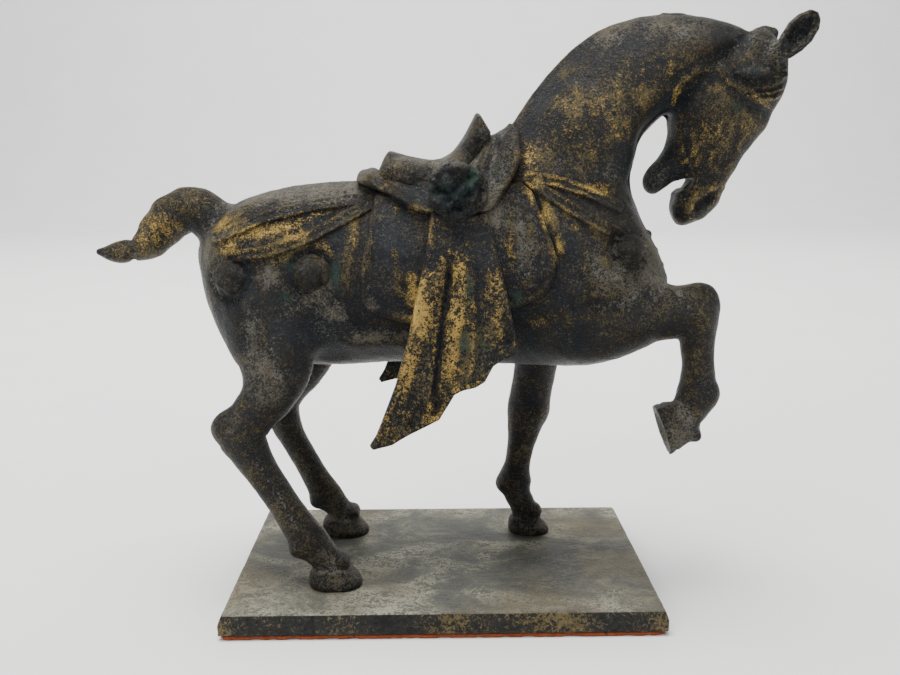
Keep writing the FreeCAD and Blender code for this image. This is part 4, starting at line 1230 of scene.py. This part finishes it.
def plate_finish():
    """The plate: grey-olive brushed patina with dark smears, gilding left along its edges."""
    n = Nodes("plate_bronze")
    smear = n.noise(0.050, 4.0, 0.62, 0.5, stretch=(0.8, 1.1, 1))
    stroke = n.noise(0.24, 4.0, 0.7, 0.6, stretch=(0.6, 1.25, 1), shift=2.3)
    grain = n.noise(1.0, 3.0, 0.65, 1.0, shift=4.4)
    cloud = n.noise(0.035, 2.0, 0.5, shift=8.8)
    crest = n.math("SUBTRACT", n.mark("crest"), 0.5)
    x, y, _ = n.parts(n.place)
    top = n.edge(n.math("SUBTRACT", n.upward(), 0.8), 0.08)
    to_front = n.math("DIVIDE", y, -HALF_DEPTH * MM)
    to_end = n.math("DIVIDE", n.math("ABSOLUTE", x), HALF_LENGTH * MM)

    grey = n.mix(n.edge(n.total((grain, 1.8), (stroke, 1.3)), 0.12), PLATE_SHADE, PLATE_GREY)
    dark = n.edge(n.total((smear, 2.6), (stroke, 1.6), (grain, 1.8), (to_front, -0.05), -0.08), 0.14)
    surface_colour = n.mix(n.math("MULTIPLY", dark, 0.78), grey, PLATE_SMEAR)
    warm = n.edge(n.total((to_end, 0.18), (cloud, 1.6), (grain, 1.2), (stroke, 0.8), -0.24), 0.09)
    surface_colour = n.mix(n.math("MULTIPLY", warm, 0.45), surface_colour, PLATE_TAN)

    side = n.mix(n.edge(n.total((grain, 1.2), (smear, 0.8)), 0.2), EDGE_BLACK, EDGE_BROWN)
    gilding = n.edge(n.total((smear, 1.8), (cloud, 1.2), (grain, 1.5), (stroke, 0.8), -0.27), 0.08)
    side = n.mix(n.math("MULTIPLY", gilding, 0.6), side, EDGE_GOLD)
    colour = n.mix(top, side, surface_colour)
    worn = n.edge(n.total((crest, 1.0), (grain, 1.4), (smear, 1.0), -0.68), 0.08)
    colour = n.mix(n.math("MULTIPLY", worn, 0.5), colour, WORN_EDGE)
    bare = n.blend(top, n.math("MULTIPLY", gilding, 0.8), n.math("MULTIPLY", warm, 0.3))
    rough = n.total(0.56, (dark, -0.10), (grain, 0.35), (bare, -0.08))
    height = n.total((grain, 1.0), (stroke, 0.9), (gilding, 0.2))
    return n.close(colour, n.total((bare, 0.6), 0.05), rough, height, 0.30, specular=0.16)


def felt_finish():
    """Orange-red felt with short fibres."""
    n = Nodes("felt")
    fibre = n.noise(2.6, 3.0, 0.7, 1.6)
    clump = n.noise(0.45, 3.0, 0.6, 0.5, shift=1.9)
    colour = n.mix(n.edge(n.total((fibre, 1.0), (clump, 0.6)), 0.2), FELT_SHADE, FELT_RED)
    colour = n.mix(n.edge(n.math("SUBTRACT", clump, 0.13), 0.05), colour, FELT_STAIN)
    return n.close(colour, 0.0, 0.95, n.total((fibre, 1.5), (clump, 1.0)), 0.5, specular=0.15)


def steel_finish():
    """Turned steel, a little stained."""
    n = Nodes("steel")
    turning = n.noise(1.4, 2.0, 0.5, stretch=(0.3, 0.3, 5.0))
    stain = n.noise(0.5, 3.0, 0.6, shift=6.1)
    colour = n.mix(n.edge(n.math("SUBTRACT", stain, 0.06), 0.1), STEEL, STEEL_STAIN)
    return n.close(colour, 0.9, n.total(0.34, (stain, 0.8)), n.total((turning, 1.0), (stain, 0.4)), 0.05)


finishes = {
    "horse_bronze": patina("horse_bronze"),
    "saddle_bronze": patina("saddle_bronze", gold=0.0, dust=0.03),
    "cloth_bronze": patina("cloth_bronze", gold=0.07, dust=-0.06, dark=0.05, ridges=0.05, flakes=1.8),
    "harness_bronze": patina("harness_bronze", gold=-0.05, dust=0.03, dark=-0.10),
    "plate_bronze": plate_finish(),
    "felt": felt_finish(),
    "steel": steel_finish(),
}

# ---------------------------------------------------------------- the pieces

horse_low, horse_high = (-104.6, -26.4, PLATE_TOP), (109.2, 26.4, 175.9)
verts, quads = surface(horse, horse_low, horse_high, VOXEL)
middles = verts[quads].mean(axis=1)
names = list(CASTINGS)
owner = np.stack([CASTINGS[name](middles) for name in names]).argmin(axis=0)
trunk = names.index("trunk")
names += ["trunk_right_shell", "trunk_left_shell"]
owner[owner == trunk] = np.where(middles[owner == trunk, 1] < 0, len(names) - 2, len(names) - 1)


def face_pairs(quads):
    """Pairs of quads that share an edge."""
    directed = np.concatenate([quads[:, [i, (i + 1) % 4]] for i in range(4)])
    face = np.tile(np.arange(len(quads)), 4)
    directed.sort(axis=1)
    key = directed[:, 0] * (quads.max() + 1) + directed[:, 1]
    order = np.argsort(key, kind="stable")
    same = key[order][1:] == key[order][:-1]
    return np.stack([face[order][1:][same], face[order][:-1][same]], axis=1)


def settle(owner, pairs):
    """Gives every patch of quads that is cut off from its piece to the piece around it."""
    for _ in range(60):
        group = groups(len(owner), pairs[owner[pairs[:, 0]] == owner[pairs[:, 1]]])
        size = np.bincount(group, minlength=len(owner))[group]
        most = np.zeros(owner.max() + 1, int)
        np.maximum.at(most, owner, size)
        stray = size < most[owner]
        if not stray.any():
            break
        for a, b in ((0, 1), (1, 0)):
            take = stray[pairs[:, a]] & ~stray[pairs[:, b]]
            owner[pairs[take, a]] = owner[pairs[take, b]]
    return owner


owner = settle(owner, face_pairs(quads))
right_half = np.unique(quads[owner == len(names) - 2])
left_half = np.unique(quads[owner == len(names) - 1])
verts[np.intersect1d(right_half, left_half), 1] = 0
horse_marks, horse_normals = marks(verts, quads, VOXEL, horse)
for i in np.unique(owner):
    name = names[i]
    own_verts, faces, facts, normals = part(quads, owner == i, verts, horse_marks, horse_normals)
    piece = build(f"cast_{name}", "horse_bronze", own_verts, faces, facts, normals)
    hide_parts(name)


def layer_box(node, margin=2.0):
    low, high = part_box(node)
    return np.array(low) / MM - margin, np.array(high) / MM + margin


def add_layer(node, slot, field, voxel=VOXEL, margin=2.0):
    """A piece of saddlery or base, in place of its CAD node."""
    low, high = layer_box(node, margin)
    piece_verts, piece_quads = surface(field, low, high, voxel)
    facts, _ = marks(piece_verts, piece_quads, voxel, field)
    name = "felt_sheet" if slot == "felt" else f"cast_{node}"
    piece = build(name, slot, piece_verts, piece_quads.tolist(), facts)
    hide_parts(node)
    return piece


add_layer("saddle_blanket", "saddle_bronze", blanket)
add_layer("saddle_seat", "saddle_bronze", lambda p: SEAT(p) + 0.15 * wander(p, 6.0, 19), FINE)
for side, name in SIDE_NAMES.items():
    add_layer(f"{name}_mud_flap", "saddle_bronze", flap(side))
    add_layer(f"{name}_saddle_cloth", "cloth_bronze", cloth(side), FINE)
    add_layer(f"{name}_cloth_knot", "cloth_bronze", knot(side), FINE)
    add_layer(f"{name}_crupper_strap", "harness_bronze", straps(side, CRUPPER_LINES), FINE)
    add_layer(f"{name}_breast_strap", "harness_bronze", straps(side, BREAST_LINES), FINE)
add_layer("crupper_bosses", "harness_bronze", bosses(BOSSES["crupper"]), FINE)
add_layer("breast_bosses", "harness_bronze", bosses(BOSSES["breast"]), FINE)
add_layer("base_plate", "plate_bronze", plate, BASE_VOXEL)
add_layer("base_felt", "felt", felt, BASE_VOXEL)
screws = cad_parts["hoof_screws"]
screws.data.materials.clear()
screws.data.materials.append(finishes["steel"])

# ---------------------------------------------------------------- stage, light and camera


def backdrop():
    """A pale sweep: a floor that curves up into a wall far behind. Lengths are in metres."""
    mesh = bpy.data.meshes.new("sweep")
    width, front, bend, rise = 3.0, -1.6, 1.5, 1.6
    radius, steps = 0.8, 16
    profile = [(front, 0.0), (bend, 0.0)]
    for i in range(1, steps + 1):
        angle = math.pi / 2 * i / steps
        profile.append((bend + radius * math.sin(angle), radius * (1 - math.cos(angle))))
    profile.append((bend + radius, radius + rise))
    spots, faces = [], []
    for y, z in profile:
        spots += [(-width, y, z), (width, y, z)]
    for i in range(len(profile) - 1):
        faces.append((2 * i, 2 * i + 1, 2 * i + 3, 2 * i + 2))
    mesh.from_pydata(spots, [], faces)
    mesh.shade_smooth()
    n = Nodes("pale_paper")
    haze = n.noise(0.012, 3.0, 0.5)
    pale, paler = (0.86, 0.86, 0.85, 1), (0.90, 0.90, 0.89, 1)
    colour = n.mix(n.edge(haze, 0.3), pale, paler)
    mesh.materials.append(n.close(colour, 0.0, 0.9, haze, 0.1, specular=0.1))
    obj = bpy.data.objects.new("sweep", mesh)
    bpy.context.scene.collection.objects.link(obj)


def lamp(name, place, target, width, depth, watts, colour):
    data = bpy.data.lights.new(name, "AREA")
    data.shape = "RECTANGLE"
    data.size, data.size_y = width, depth
    data.energy = watts
    data.color = colour
    obj = bpy.data.objects.new(name, data)
    obj.location = place
    obj.rotation_euler = (Vector(target) - Vector(place)).to_track_quat("-Z", "Y").to_euler()
    bpy.context.scene.collection.objects.link(obj)


backdrop()
lamp("overhead", (-0.15, 0.0, 1.25), (0, 0.1, 0), 0.9, 0.8, 31.5, (1.0, 0.99, 0.97))
lamp("window", (-0.8, -0.9, 0.85), (0, 0, 0.09), 0.4, 0.4, 6.0, (0.95, 0.98, 1.0))
lamp("wall_wash", (0.0, 0.6, 1.5), (0, 2.2, 0.7), 2.0, 0.8, 50.0, (1.0, 1.0, 1.0))
world = bpy.data.worlds.new("studio")
world.use_nodes = True
sky = world.node_tree.nodes["Background"]
sky.inputs["Color"].default_value = (0.93, 0.96, 1.0, 1)
sky.inputs["Strength"].default_value = 0.28
bpy.context.scene.world = world

LENS_MM, SENSOR_MM = 38.2, 36.0
CAMERA_PLACE = (-0.0024, -0.2923, 0.1337)
CAMERA_YAW, CAMERA_DOWN, CAMERA_ROLL = -0.01694, 0.18551, 0.00305  # radians
camera_data = bpy.data.cameras.new("camera")
camera_data.lens = LENS_MM
camera_data.sensor_width = SENSOR_MM
camera = bpy.data.objects.new("camera", camera_data)
aim = Matrix.Rotation(CAMERA_YAW, 4, "Z") @ Matrix.Rotation(math.pi / 2 - CAMERA_DOWN, 4, "X")
camera.matrix_world = Matrix.Translation(CAMERA_PLACE) @ aim @ Matrix.Rotation(-CAMERA_ROLL, 4, "Z")
camera_data.clip_start = 0.01
bpy.context.scene.collection.objects.link(camera)
bpy.context.scene.camera = camera
